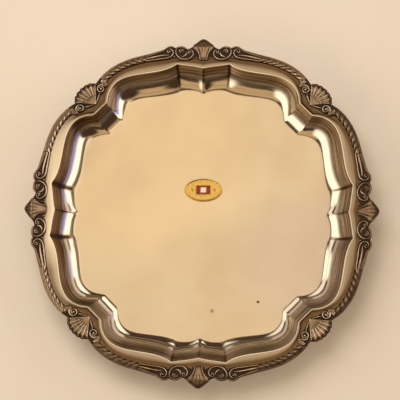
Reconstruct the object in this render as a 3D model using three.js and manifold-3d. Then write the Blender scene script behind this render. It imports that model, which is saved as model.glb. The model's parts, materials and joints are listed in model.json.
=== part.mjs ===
// A square silver salver with shaped corners: a dished sheet body, a cast and
// gadrooned border with shells, four cast feet and a small riveted gilt badge.
// Millimetres, +Z up. The origin is the middle of the footprint, at foot level.
// North is +Y, and each side is drawn in a frame of its own: u runs along the
// side from its middle and v runs outward from the centre of the salver.

import * as THREE from 'three';
import { mergeVertices } from 'three/addons/utils/BufferGeometryUtils.js';
import Module from 'manifold-3d';

const wasm = await Module();
wasm.setup();

// ---------------------------------------------------------------- driving sizes

const SIDE_REACH = 126.2;       // centre to the flange's inner edge, middle of a side
const CORNER_REACH = 92.8;      // centre to a corner shell's point, along each side
const WALL_RUN = 18.7;          // width of the sloping wall, seen from above
const FOOT_HEIGHT = 12;         // table to the underside of the flat
const SHEET = 1.6;              // thickness of the raised sheet
const DISH_DEPTH = 18;          // flat to the inner edge of the flange
const HOLLOW_START = 0.3;       // the wall's hollow is an arc that starts at this many
const HOLLOW_END = 1.1;         // radians, at the flat, and ends at this many, at the lip
const FLANGE_RISE = 0.9;        // flange's inner edge to the ledge under the border
const LEDGE_MARGIN = 0.6;       // ledge that shows inside the border
const BORDER_WIDTH = 7;         // width of a gadrooned run
const BORDER_LIP = 1.2;         // how far the cast border oversails the sheet
const BORDER_HEIGHT = 3.4;      // ledge to the top of the gadroons
const BORDER_EDGE = 1.1;        // height of a gadrooned run along its edges
const GADROON_PITCH = 5.4;      // one lobe, along the border
const GADROON_DEPTH = 0.9;      // groove between two lobes
const GADROON_SLANT = 1.15;     // lobes that one groove crosses, edge to edge
const JOINT_GAP = 0.3;          // soldered joint between two castings
const SHELL_REACH = 26.3;       // flange's inner edge to the tip of a side shell
const SHELL_POINT = 7;          // flange's inner edge to the point of a side shell
const SHELL_HALF_WIDTH = 9.4;   // side shell at its widest
const SHELL_RISE = 3.3;         // ledge to the top of a shell's ribs
const SHELL_GROOVE = 0.8;       // groove between two ribs
const MOUNT_PLATE = 1.4;        // flat ground behind the side shells and scrolls
const SCROLL_RISE = 3;          // ledge to the back of a scroll
const SCROLL_WIDTH = 1.8;       // width of a scroll's back
const EYE_RADIUS = 1.9;         // eye of a side scroll
const FAN_RADIUS = 20.4;        // corner shell, from its point to its scalloped edge
const FAN_MARGIN = 5;           // degrees between a corner shell and the two runs
const FAN_RIBS = 7;
const SCALLOP = 0.8;            // how far a rib's end stands past the groove's
const VOLUTE_RADIUS = 3.6;      // coil at the end of a run
const FOOT_PAD = 8.5;           // radius of a foot's plate, soldered to the flat
const FOOT_ANKLE = 2.9;         // radius of a foot at its thinnest
const FOOT_TOE = 4.6;           // radius of a foot's toe
const FOOT_REACH = 88;          // centre to the middle of a foot's plate
const FOOT_KICK = 8;            // how far the toe stands out past the plate's middle
const BADGE_LENGTH = 33;
const BADGE_WIDTH = 20.4;
const BADGE_PLATE = 0.9;        // thickness of the gilt plate
const BADGE_RIM = 0.5;          // the rim stands this much above the plate
const BADGE_RIM_WIDTH = 1.2;
const BADGE_X = 0.9;            // middle of the badge
const BADGE_Y = 21.3;
const PANEL_LENGTH = 13.4;      // enamelled panel, outside its gilt wall
const PANEL_WIDTH = 8.8;
const CELL_LENGTH = 5.4;        // white cell in the panel's middle, outside its wall
const CELL_WIDTH = 5.2;
const CLOISON = 0.45;           // thickness of the gilt walls round the enamel
const CLOISON_HEIGHT = 0.45;
const ENAMEL_CLEARANCE = 0.1;   // enamel to the wall beside it
const ENAMEL_HEIGHT = 0.35;
const PIN_SPACING = 19.2;       // the two rivets, middle to middle
const PIN_DIAMETER = 1.2;
const PIN_HEAD = 2.4;           // diameter of a rivet's head and of its tail
const PIN_HEAD_RISE = 0.7;
const PIN_CLEARANCE = 0.3;      // rivet to the hole it passes through
const PAST = 1;                 // how far a cutter runs past the face it cuts

// How finely round shapes are cut into flats.
const HOLLOW_SHARES = [0, 0.2, 0.4, 0.6, 0.8, 1];
const STEPS_PER_GADROON = 4;
const FOOT_SIDES = 12;
const OVAL_SIDES = 40;
const PIN_SIDES = 12;
const EYE_SIDES = 8;
const VOLUTE_SIDES = 12;
const SCROLL_STEPS = 10;
const BAND_STEPS = 4;

// ---------------------------------------------------------------- worked out

const FLAT_Z = FOOT_HEIGHT + SHEET;
const FLANGE_Z = FLAT_Z + DISH_DEPTH;
const LEDGE_Z = FLANGE_Z + FLANGE_RISE;
const BADGE_Z = FLAT_Z + BADGE_PLATE;

const v2 = (u, v) => new THREE.Vector2(u, v);
const v3 = (x, y, z) => new THREE.Vector3(x, y, z);
// A place near the middle of a side, and a place near its corner.
const mid = (u, outward) => v2(u, SIDE_REACH + outward);
const corner = (u, v) => v2(CORNER_REACH + u, CORNER_REACH + v);

// ---------------------------------------------------------------- closed solids

// Gives back a BufferGeometry whose faces point out, from points and triangles.
function closedGeometry(points, triangles) {
  let volume = 0;
  for (const [a, b, c] of triangles) {
    volume += points[a].dot(new THREE.Vector3().crossVectors(points[b], points[c]));
  }
  const order = volume < 0 ? [0, 2, 1] : [0, 1, 2];
  const geometry = new THREE.BufferGeometry();
  const place = points.flatMap((p) => [p.x, p.y, p.z]);
  geometry.setAttribute('position', new THREE.Float32BufferAttribute(place, 3));
  geometry.setIndex(triangles.flatMap((t) => order.map((k) => t[k])));
  geometry.computeVertexNormals();
  return geometry;
}

// A solid through rings of points, one after another, closed by a flat end
// across the first ring and another across the last.
function ringSolid(rings) {
  const count = rings[0].length;
  const points = rings.flat();
  const triangles = [];
  for (let r = 0; r + 1 < rings.length; r++) {
    for (let i = 0; i < count; i++) {
      const a = r * count + i;
      const b = r * count + ((i + 1) % count);
      triangles.push([a, b, b + count], [a, b + count, a + count]);
    }
  }
  for (const [ring, first, side] of [[rings[0], 0, -1], [rings.at(-1), points.length - count, 1]]) {
    const flat = ring.map((p) => v2(p.x, p.y));
    const wanted = side * Math.sign(THREE.ShapeUtils.area(flat));
    for (const [a, b, c] of THREE.ShapeUtils.triangulateShape(flat, [])) {
      const turn = Math.sign(THREE.ShapeUtils.area([flat[a], flat[b], flat[c]]));
      triangles.push([a, turn === wanted ? b : c, turn === wanted ? c : b].map((k) => first + k));
    }
  }
  return closedGeometry(points, triangles);
}

// A casting with a modelled top and a flat underside. grid[i][j] is the top; its
// two j edges may curve, and its first and last rows are straight from above.
function casting(grid, underside) {
  const rows = grid.length;
  const cols = grid[0].length;
  const points = grid.flat();
  const top = (i, j) => i * cols + j;
  const low = (i, side) => rows * cols + 2 * i + side;
  for (const row of grid) {
    points.push(v3(row[0].x, row[0].y, underside));
    points.push(v3(row[cols - 1].x, row[cols - 1].y, underside));
  }
  const triangles = [];
  for (let i = 0; i + 1 < rows; i++) {
    for (let j = 0; j + 1 < cols; j++) {
      triangles.push([top(i, j), top(i + 1, j), top(i + 1, j + 1)]);
      triangles.push([top(i, j), top(i + 1, j + 1), top(i, j + 1)]);
    }
    const last = cols - 1;
    triangles.push([low(i, 0), low(i + 1, 0), top(i + 1, 0)], [low(i, 0), top(i + 1, 0), top(i, 0)]);
    triangles.push([low(i, 1), top(i + 1, last), low(i + 1, 1)]);
    triangles.push([low(i, 1), top(i, last), top(i + 1, last)]);
    triangles.push([low(i, 0), low(i + 1, 1), low(i + 1, 0)], [low(i, 0), low(i, 1), low(i + 1, 1)]);
  }
  for (const [i, flip] of [[0, false], [rows - 1, true]]) {
    const end = [];
    for (let j = 0; j + 1 < cols; j++) end.push([low(i, 0), top(i, j), top(i, j + 1)]);
    end.push([low(i, 0), top(i, cols - 1), low(i, 1)]);
    for (const [a, b, c] of end) triangles.push(flip ? [a, c, b] : [a, b, c]);
  }
  return closedGeometry(points, triangles);
}

// A turned solid standing on z = 0 at (x, y), from a profile of [radius, z].
function turned(profile, sides, x, y) {
  const geometry = new THREE.LatheGeometry(profile.map(([r, z]) => v2(r, z)), sides);
  geometry.rotateX(Math.PI / 2);
  geometry.translate(x, y, 0);
  return geometry;
}

function pinHole(low, high, [x, y]) {
  const radius = PIN_DIAMETER / 2 + PIN_CLEARANCE;
  return turned([[0, low], [radius, low], [radius, high], [0, high]], PIN_SIDES, x, y);
}

function toManifold(geometry) {
  const bare = geometry.clone();
  for (const name of Object.keys(bare.attributes)) {
    if (name !== 'position') bare.deleteAttribute(name);
  }
  const merged = mergeVertices(bare, 1e-5);
  const index = merged.index.array;
  const kept = [];
  for (let i = 0; i < index.length; i += 3) {
    const [a, b, c] = [index[i], index[i + 1], index[i + 2]];
    if (a !== b && b !== c && c !== a) kept.push(a, b, c);
  }
  const mesh = new wasm.Mesh({
    numProp: 3,
    vertProperties: new Float32Array(merged.attributes.position.array),
    triVerts: new Uint32Array(kept),
  });
  return new wasm.Manifold(mesh);
}

function fromManifold(solid) {
  const mesh = solid.getMesh();
  const geometry = new THREE.BufferGeometry();
  geometry.setAttribute('position', new THREE.BufferAttribute(mesh.vertProperties, 3));
  geometry.setIndex(new THREE.BufferAttribute(mesh.triVerts, 1));
  geometry.computeVertexNormals();
  return geometry;
}

function join(geometries) {
  return fromManifold(geometries.map(toManifold).reduce((whole, piece) => whole.add(piece)));
}

function cut(geometry, tools) {
  const rest = tools.map(toManifold).reduce((whole, tool) => whole.subtract(tool), toManifold(geometry));
  return fromManifold(rest);
}

// ---------------------------------------------------------------- outlines

// An outline is half a side, from its middle to the cut across the corner: a
// lobe, a bracket and a shoulder. Equal steps keep every outline in line with
// the next, so that the corners of the wall run straight down to the flat.
const LOBE_STEPS = 4;
const BRACKET_STEPS = 3;
const SHOULDER_STEPS = 6;

function lobeAndBracket(start, lobeHandles, kink, bracketHandle, shoulder) {
  const lobe = new THREE.CubicBezierCurve(start, ...lobeHandles, kink);
  const bracket = new THREE.QuadraticBezierCurve(kink, bracketHandle, shoulder);
  return [...lobe.getPoints(LOBE_STEPS), ...bracket.getPoints(BRACKET_STEPS).slice(1)];
}

// The wall's outline, a distance in from the flange's inner edge. Each point
// moves in along its own line: down the lobes, and diagonally at the corners.
// The lobes are shallow at the flange and deeply scooped at the flat.
function wallOutline(inward) {
  const into = (point, u, v) => point.clone().add(v2(u * inward, v * inward));
  const shoulder = into(mid(44, -3.7), -0.21, -0.9);
  const swing = new THREE.CubicBezierCurve(
    shoulder,
    into(mid(62, -6.7), -0.32, -0.85),
    into(v2(CORNER_REACH - 10, SIDE_REACH - 6.7), -0.68, -0.79),
    into(corner(-9.1, 2.5), -0.67, -0.685),
  );
  const first = lobeAndBracket(
    into(mid(0, 0), 0, -1),
    [into(mid(5, 1.8), -0.03, -0.87), into(mid(16, 2.4), 0.03, -0.88)],
    into(mid(23.1, 3.9), -0.12, -1.07),
    into(mid(30, -1.6), -0.24, -0.93),
    shoulder,
  );
  return [...first, ...swing.getPoints(SHOULDER_STEPS).slice(1)];
}

// The middle line of a gadrooned run, and a place across it: + is outward.
const runCurve = new THREE.CubicBezierCurve(
  mid(41, 10.4),
  mid(60.5, 6.8),
  v2(CORNER_REACH - 12.3, SIDE_REACH + 1.8),
  corner(-1.6, 17),
);
const RUN_START = 0.16;
const RUN_END = 0.9;
const RIM_START = 0.08;

function acrossRun(t, outward) {
  const along = runCurve.getTangent(t);
  return runCurve.getPoint(t).add(v2(-along.y, along.x).multiplyScalar(outward));
}

function rimShoulder(outward) {
  const points = [];
  for (let k = 0; k <= SHOULDER_STEPS; k++) {
    points.push(acrossRun(RIM_START + ((1 - RIM_START) * k) / SHOULDER_STEPS, outward));
  }
  return points;
}

// The inner edge of the level ledge that carries the border.
function ledgeOutline() {
  const shoulder = rimShoulder(-BORDER_WIDTH / 2 - LEDGE_MARGIN);
  shoulder[SHOULDER_STEPS] = corner(-6.2, 3);
  const lobe = [mid(6.7, 6.7), mid(14.4, 7.3)];
  const first = lobeAndBracket(mid(0, 5.2), lobe, mid(23.1, 7.1), mid(33, 6.6), shoulder[0]);
  return [...first, ...shoulder.slice(1)];
}

// The sheet's own edge, hidden under the castings.
function edgeOutline() {
  const shoulder = rimShoulder(BORDER_WIDTH / 2 - BORDER_LIP);
  const lobe = [mid(6.7, 14.9), mid(14.4, 15.1)];
  const first = lobeAndBracket(mid(0, 14.8), lobe, mid(23.1, 15.2), mid(34, 14.4), shoulder[0]);
  return [...first, ...shoulder.slice(1)];
}

// Turns half a side into a ring round the whole salver, at one height.
function ringOf(half, z) {
  const mirrored = half.slice(1).reverse().map((p) => v2(-p.x, p.y));
  const side = [...mirrored, ...half];
  const ring = [];
  for (let k = 0; k < 4; k++) {
    const [c, s] = [[1, 0], [0, -1], [-1, 0], [0, 1]][k];
    ring.push(...side.map((p) => v3(p.x * c - p.y * s, p.x * s + p.y * c, z)));
  }
  return ring;
}

// ---------------------------------------------------------------- body

// The wall's section as [distance out from the flat's edge, height]: one broad
// hollow, part of an ellipse, with a crisp edge at the flat and one at the flange.
function wallSection() {
  const width = Math.sin(HOLLOW_END) - Math.sin(HOLLOW_START);
  const height = Math.cos(HOLLOW_START) - Math.cos(HOLLOW_END);
  return HOLLOW_SHARES.map((share) => {
    const turn = HOLLOW_START + (HOLLOW_END - HOLLOW_START) * share;
    const run = (WALL_RUN * (Math.sin(turn) - Math.sin(HOLLOW_START))) / width;
    const rise = (DISH_DEPTH * (Math.cos(HOLLOW_START) - Math.cos(turn))) / height;
    return [run, rise];
  });
}

// The same section one sheet's thickness below.
function undersideOf(section) {
  return section.map(([run, rise], k) => {
    const before = section[Math.max(k - 1, 0)];
    const after = section[Math.min(k + 1, section.length - 1)];
    const slope = Math.atan2(after[1] - before[1], after[0] - before[0]);
    const lean = k === 0 ? 0 : slope;
    return [run + SHEET * Math.sin(lean), rise - SHEET * Math.cos(lean)];
  });
}

function between(near, far, share) {
  return near.map((p, k) => p.clone().lerp(far[k], share));
}

function makeBody() {
  const flange = wallOutline(0);
  const ledge = ledgeOutline();
  const edge = edgeOutline();
  const section = wallSection();
  const rings = section.map(([run, rise]) => ringOf(wallOutline(WALL_RUN - run), FLAT_Z + rise));
  rings.push(ringOf(ledge, LEDGE_Z), ringOf(edge, LEDGE_Z), ringOf(edge, LEDGE_Z - SHEET));
  rings.push(ringOf(between(flange, ledge, 0.8), LEDGE_Z - SHEET));
  const under = undersideOf(section).slice(0, -1).reverse();
  for (const [run, rise] of under) {
    rings.push(ringOf(wallOutline(WALL_RUN - run), FLAT_Z + rise));
  }
  const holes = pinPlaces().map((spot) => pinHole(FOOT_HEIGHT - PAST, FLAT_Z + PAST, spot));
  return cut(ringSolid(rings), holes);
}

// ---------------------------------------------------------------- gadrooned runs

// Across a run, from its inner edge: share of the width, share of the height
// and how deep the grooves between the lobes cut.
const RUN_SECTION = [
  [0, 0, 0.35],
  [0.14, 0.62, 1],
  [0.37, 1, 1],
  [0.64, 0.92, 0.7],
  [0.84, 0.5, 0.2],
  [1, 0, 0],
];

function makeRun(hand) {
  const length = runCurve.getLength() * (RUN_END - RUN_START);
  const lobes = Math.round(length / GADROON_PITCH);
  const steps = lobes * STEPS_PER_GADROON;
  const grid = [];
  for (let i = 0; i <= steps; i++) {
    const t = RUN_START + ((RUN_END - RUN_START) * i) / steps;
    grid.push(RUN_SECTION.map(([share, rise, groove]) => {
      const place = acrossRun(t, (share - 0.5) * BORDER_WIDTH);
      const phase = (i / STEPS_PER_GADROON - GADROON_SLANT * share) * 2 * Math.PI;
      const dip = GADROON_DEPTH * groove * (0.5 - 0.5 * Math.cos(phase));
      const height = BORDER_EDGE + (BORDER_HEIGHT - BORDER_EDGE) * rise - dip;
      return v3(hand * place.x, place.y, LEDGE_Z + Math.max(height, BORDER_EDGE / 2));
    }));
  }
  return casting(grid, LEDGE_Z);
}

// ---------------------------------------------------------------- shells, scrolls

// A rounded ridge along a path of [u, v, share of the scroll's full width].
function ridge(path, rise) {
  const grid = path.map(([u, v, full], i) => {
    const before = path[Math.max(i - 1, 0)];
    const after = path[Math.min(i + 1, path.length - 1)];
    const along = v2(after[0] - before[0], after[1] - before[1]).normalize();
    const side = v2(-along.y, along.x).multiplyScalar((SCROLL_WIDTH / 2) * full);
    return [
      v3(u - side.x, v - side.y, LEDGE_Z + rise * 0.45),
      v3(u, v, LEDGE_Z + rise),
      v3(u + side.x, v + side.y, LEDGE_Z + rise * 0.45),
    ];
  });
  return casting(grid, LEDGE_Z);
}

function ridgeAlong(points, hand, steps, ends = [1, 1]) {
  const curve = new THREE.SplineCurve(points);
  const path = curve.getSpacedPoints(steps).map((p, k) => {
    const full = ends[0] + ((ends[1] - ends[0]) * k) / steps;
    return [hand * p.x, p.y, full];
  });
  return ridge(path, SCROLL_RISE);
}

// The round eye that a scroll coils about.
function eye(place, hand) {
  const [radius, top] = [EYE_RADIUS, LEDGE_Z + SCROLL_RISE];
  const profile = [[0, LEDGE_Z], [radius, LEDGE_Z], [radius, LEDGE_Z + SCROLL_RISE * 0.7]];
  profile.push([radius * 0.6, top], [0, top + SCROLL_RISE * 0.05]);
  return turned(profile, EYE_SIDES, hand * place.x, place.y);
}

// A side shell widens from its point to its shoulders, then closes to the tip.
const SHELL_STATIONS = [
  [0.01, 0.32, 0.5],
  [0.14, 0.36, 0.72],
  [0.33, 0.51, 0.9],
  [0.52, 0.82, 1],
  [0.67, 1, 0.96],
  [0.83, 0.58, 0.75],
  [0.99, 0.1, 0.45],
];
const SHELL_RIBS = 5;

function makeSideShell() {
  const grid = SHELL_STATIONS.map(([share, width, rise]) => {
    const row = [];
    const outward = SHELL_POINT + (SHELL_REACH - SHELL_POINT) * share;
    for (let j = 0; j <= 2 * SHELL_RIBS; j++) {
      const across = j / SHELL_RIBS - 1;
      const place = mid(across * SHELL_HALF_WIDTH * width, outward);
      const groove = j % 2 === 0 ? SHELL_GROOVE * Math.min(width * 1.4, 1) : 0;
      const height = SHELL_RISE * rise * (1 - 0.25 * across * across) - groove;
      row.push(v3(place.x, place.y, LEDGE_Z + height));
    }
    return row;
  });
  return casting(grid, LEDGE_Z);
}

// The flat ground of a side mount: silhouette outside, scroll backs inside.
function sideMountPlate() {
  const t = RUN_START - JOINT_GAP / runCurve.getLength();
  const outer = acrossRun(t, BORDER_WIDTH / 2);
  const inner = acrossRun(t, -BORDER_WIDTH / 2);
  const half = new THREE.Path();
  half.moveTo(0, SIDE_REACH + SHELL_REACH);
  const swing = (c, p) => half.quadraticCurveTo(c.x, c.y, p.x, p.y);
  swing(mid(3, SHELL_REACH), mid(SHELL_HALF_WIDTH * 0.9, 20.2));
  swing(mid(11.5, 17.6), mid(14.2, 17.2));
  swing(mid(17, 20.4), mid(21, 19.7));
  swing(mid(23.6, 19.3), mid(24.6, 18));
  swing(mid(27, 20.6), mid(31, 19.4));
  swing(mid(36, 14.6), outer);
  half.lineTo(inner.x, inner.y);
  swing(mid(40, 6.6), mid(31, 7.7));
  swing(mid(27, 8.4), mid(25, 9.3));
  swing(mid(21, 6.4), mid(16, 6.6));
  swing(mid(10, 7.2), mid(7, 9.4));
  half.lineTo(3, SIDE_REACH + SHELL_POINT);
  const points = half.getPoints(2);
  const mirrored = points.slice(1).reverse().map((p) => v2(-p.x, p.y));
  const shape = new THREE.Shape([...points, ...mirrored]);
  const plate = new THREE.ExtrudeGeometry(shape, { depth: MOUNT_PLATE, bevelEnabled: false });
  return plate.translate(0, 0, LEDGE_Z);
}

function makeSideMount() {
  const pieces = [sideMountPlate(), makeSideShell()];
  const end = acrossRun(RUN_START - JOINT_GAP / runCurve.getLength(), 0);
  for (const hand of [1, -1]) {
    const cScroll = [mid(11.4, 16.4), mid(8.9, 14.2), mid(10.6, 9.8), mid(16, 7.8), mid(22, 9.6)];
    cScroll.push(mid(24.3, 14.4), mid(21.4, 18.4));
    const jScroll = [mid(31.4, 18.2), mid(27.2, 17.4), mid(26, 14), mid(28.2, 10.2), mid(33, 8.4)];
    jScroll.push(mid(40, 7.5), v2(end.x - 2, end.y - BORDER_WIDTH * 0.33));
    const band = [mid(32.4, 17.6), mid(36.4, 14.4), mid(41, 12.9)];
    band.push(v2(end.x - 2, end.y + BORDER_WIDTH * 0.25));
    pieces.push(ridgeAlong(cScroll, hand, SCROLL_STEPS));
    pieces.push(ridgeAlong(jScroll, hand, SCROLL_STEPS, [1, 0.7]));
    pieces.push(ridgeAlong(band, hand, BAND_STEPS, [1.2, 1.6]));
    for (const spot of [mid(12.2, 13.9), mid(19.6, 15.4), mid(30.4, 14.8)]) {
      pieces.push(eye(spot, hand));
    }
  }
  return join(pieces);
}

// ---------------------------------------------------------------- corner mounts

function makeFan() {
  const start = THREE.MathUtils.degToRad(FAN_MARGIN);
  const sweep = Math.PI / 2 - 2 * start;
  const stations = [[0.06, 0.5], [0.3, 0.8], [0.62, 1], [0.86, 0.9], [1, 0.42]];
  const grid = [];
  for (let i = 0; i <= 2 * FAN_RIBS; i++) {
    const angle = start + (sweep * i) / (2 * FAN_RIBS);
    const crest = i % 2 === 1;
    grid.push(stations.map(([share, rise]) => {
      const radius = FAN_RADIUS * share + (crest ? SCALLOP * share : 0);
      const place = corner(radius * Math.cos(angle), radius * Math.sin(angle));
      const height = SHELL_RISE * rise - (crest ? 0 : SHELL_GROOVE * rise);
      return v3(place.x, place.y, LEDGE_Z + height);
    }));
  }
  return casting(grid, LEDGE_Z);
}

function makeVolute(place) {
  const radius = VOLUTE_RADIUS;
  const profile = [[0, 0], [radius, 0], [radius, 1.7], [radius - 0.8, 2.9], [radius - 1.6, 1.9]];
  profile.push([radius - 2, 2], [radius - 2.4, 3], [0, 3.3]);
  return turned(profile.map(([r, z]) => [r, LEDGE_Z + z]), VOLUTE_SIDES, place.x, place.y);
}

// The run's end sweeps past the coil to the corner shell's side.
function makeArm(swap) {
  const t = RUN_END + JOINT_GAP / runCurve.getLength();
  const rows = [
    [acrossRun(t, -BORDER_WIDTH / 2), acrossRun(t, BORDER_WIDTH / 2)],
    [corner(-7, 17.4), corner(0.7, 20.7)],
    [corner(-4.5, 15.5), corner(2.2, 18.2)],
  ];
  const grid = rows.map(([inner, outer]) => [0, 0.35, 0.75, 1].map((share) => {
    const place = inner.clone().lerp(outer, share);
    const rise = BORDER_EDGE + (BORDER_HEIGHT - BORDER_EDGE) * Math.sin(share * Math.PI) * 0.9;
    const [x, y] = swap ? [place.y, place.x] : [place.x, place.y];
    return v3(x, y, LEDGE_Z + rise);
  }));
  return casting(grid, LEDGE_Z);
}

function makeCornerMount() {
  const pieces = [makeFan()];
  for (const swap of [false, true]) {
    const order = (p) => (swap ? v2(p.y, p.x) : p);
    pieces.push(makeArm(swap), makeVolute(order(corner(-3.7, 14.1))));
    const husk = [[-3.2, 11.5, 0.7], [-2.2, 8.6, 1.5], [-1.4, 5.6, 1.3], [0.2, 1.4, 0.6]];
    const path = husk.map(([u, v, full]) => [...order(corner(u, v)).toArray(), full]);
    pieces.push(ridge(path, SCROLL_RISE * 0.85));
  }
  return join(pieces);
}

// ---------------------------------------------------------------- feet

// A foot leans out from its plate through a thin ankle to a rounded toe. Its
// plate and its toe are flat.
function makeFoot() {
  const stations = [
    [0, 0, FOOT_TOE * 0.8],
    [0.09, 0.02, FOOT_TOE],
    [0.24, 0.02, FOOT_TOE * 0.92],
    [0.36, 0.1, FOOT_ANKLE],
    [0.55, 0.2, FOOT_ANKLE],
    [0.74, 0.5, FOOT_ANKLE * 1.3],
    [0.88, 0.85, FOOT_PAD * 0.62],
    [0.93, 1, FOOT_PAD],
    [1, 1, FOOT_PAD],
  ];
  const rings = stations.map(([share, back, radius]) => {
    const ring = [];
    for (let k = 0; k < FOOT_SIDES; k++) {
      const angle = (k * 2 * Math.PI) / FOOT_SIDES;
      const out = FOOT_KICK * (1 - back) + radius * Math.cos(angle);
      ring.push(v3(FOOT_REACH + out, radius * Math.sin(angle), FOOT_HEIGHT * share));
    }
    return ring;
  });
  return ringSolid(rings);
}

// ---------------------------------------------------------------- badge

function pinPlaces() {
  return [-1, 1].map((hand) => [BADGE_X + (hand * PIN_SPACING) / 2, BADGE_Y]);
}

function box(length, width, low, high, x, y) {
  const geometry = new THREE.BoxGeometry(length, width, high - low);
  return geometry.translate(x, y, (low + high) / 2);
}

function ellipseRing(inset, z) {
  const ring = [];
  for (let k = 0; k < OVAL_SIDES; k++) {
    const angle = (k * 2 * Math.PI) / OVAL_SIDES;
    const x = BADGE_X + (BADGE_LENGTH / 2 - inset) * Math.cos(angle);
    ring.push(v3(x, BADGE_Y + (BADGE_WIDTH / 2 - inset) * Math.sin(angle), z));
  }
  return ring;
}

function makeBadgePlate() {
  const rim = ringSolid([
    ellipseRing(0, FLAT_Z),
    ellipseRing(0, BADGE_Z),
    ellipseRing(BADGE_RIM_WIDTH * 0.4, BADGE_Z + BADGE_RIM),
    ellipseRing(BADGE_RIM_WIDTH * 0.7, BADGE_Z + BADGE_RIM),
    ellipseRing(BADGE_RIM_WIDTH, BADGE_Z),
  ]);
  const top = BADGE_Z + CLOISON_HEIGHT;
  const wall = (length, width) => {
    const outside = box(length, width, FLAT_Z + BADGE_PLATE / 2, top, BADGE_X, BADGE_Y);
    const inside = box(length - 2 * CLOISON, width - 2 * CLOISON, FLAT_Z, top + PAST, BADGE_X, BADGE_Y);
    return cut(outside, [inside]);
  };
  const plate = join([rim, wall(PANEL_LENGTH, PANEL_WIDTH), wall(CELL_LENGTH, CELL_WIDTH)]);
  return cut(plate, pinPlaces().map((spot) => pinHole(FLAT_Z - PAST, BADGE_Z + PAST, spot)));
}

// The red enamel fills the panel round the white cell.
function makeRedEnamel() {
  const inset = 2 * (CLOISON + ENAMEL_CLEARANCE);
  const top = BADGE_Z + ENAMEL_HEIGHT;
  const whole = box(PANEL_LENGTH - inset, PANEL_WIDTH - inset, BADGE_Z, top, BADGE_X, BADGE_Y);
  const gap = 2 * ENAMEL_CLEARANCE;
  const [length, width] = [CELL_LENGTH + gap, CELL_WIDTH + gap];
  const cell = box(length, width, BADGE_Z - PAST, top + PAST, BADGE_X, BADGE_Y);
  return cut(whole, [cell]);
}

function makeWhiteEnamel() {
  const inset = 2 * (CLOISON + ENAMEL_CLEARANCE);
  const [length, width] = [CELL_LENGTH - inset, CELL_WIDTH - inset];
  return box(length, width, BADGE_Z, BADGE_Z + ENAMEL_HEIGHT, BADGE_X, BADGE_Y);
}

// A rivet through the plate and the sheet, domed above and below.
function makePin([x, y]) {
  const [head, shank] = [PIN_HEAD / 2, PIN_DIAMETER / 2];
  return fromManifold(toManifold(turned([
    [0, FOOT_HEIGHT - PIN_HEAD_RISE],
    [head * 0.6, FOOT_HEIGHT - PIN_HEAD_RISE * 0.75],
    [head, FOOT_HEIGHT],
    [shank, FOOT_HEIGHT],
    [shank, BADGE_Z],
    [head, BADGE_Z],
    [head * 0.6, BADGE_Z + PIN_HEAD_RISE * 0.75],
    [0, BADGE_Z + PIN_HEAD_RISE],
  ], PIN_SIDES, x, y)));
}

// ---------------------------------------------------------------- assembly

const silver = new THREE.MeshStandardMaterial({ color: 0xc9bfae, roughness: 0.18, metalness: 1 });
const castSilver = new THREE.MeshStandardMaterial({ color: 0x9c8f7c, roughness: 0.3, metalness: 1 });
const gilt = new THREE.MeshStandardMaterial({ color: 0xd9a441, roughness: 0.25, metalness: 1 });
const redEnamel = new THREE.MeshStandardMaterial({ color: 0x7a0c12, roughness: 0.15, metalness: 0 });
const whiteEnamel = new THREE.MeshStandardMaterial({ color: 0xf4ecdf, roughness: 0.15, metalness: 0 });

const salver = new THREE.Group();

function place(name, geometry, material, quarterTurns = 0) {
  const mesh = new THREE.Mesh(geometry, material);
  mesh.name = name;
  mesh.rotation.z = (-quarterTurns * Math.PI) / 2;
  salver.add(mesh);
}

place('salver_body', makeBody(), silver);
const SIDES = ['north', 'east', 'south', 'west'];
const CORNERS = ['ne', 'se', 'sw', 'nw'];
SIDES.forEach((side, k) => {
  place(`side_shell_${side}`, makeSideMount(), castSilver, k);
  place(`gadroon_${side}_${CORNERS[k]}`, makeRun(1), castSilver, k);
  place(`gadroon_${side}_${CORNERS[(k + 3) % 4]}`, makeRun(-1), castSilver, k);
});
CORNERS.forEach((name, k) => {
  place(`corner_shell_${name}`, makeCornerMount(), castSilver, k);
  place(`foot_${name}`, makeFoot(), castSilver, k - 0.5);
});
place('badge_plate', makeBadgePlate(), gilt);
place('badge_enamel_red', makeRedEnamel(), redEnamel);
place('badge_enamel_white', makeWhiteEnamel(), whiteEnamel);
pinPlaces().forEach((spot, k) => place(`badge_pin_${['west', 'east'][k]}`, makePin(spot), gilt));

export default salver;
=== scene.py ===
# %% [markdown]
# # A square silver salver with a gadrooned border
#
# A salver is a flat serving tray on small feet. This one is raised from sheet
# silver: a flat, one deep hollow wall and a narrow flange. Cast pieces are
# soldered on top of the flange: a shell in the middle of each side, a fan shell
# at each corner, and a slanted gadroon run between them. A small gilt badge
# with enamel is riveted to the flat.
#
# The lesson builds each of these as real geometry, then gives it a finish that
# has the polish, the scratches and the dark oxide of old silver.

# %% Load the frame
import json
from math import cos, pi, radians, sin

import bpy
import numpy as np
from mathutils import Matrix, Vector

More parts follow.
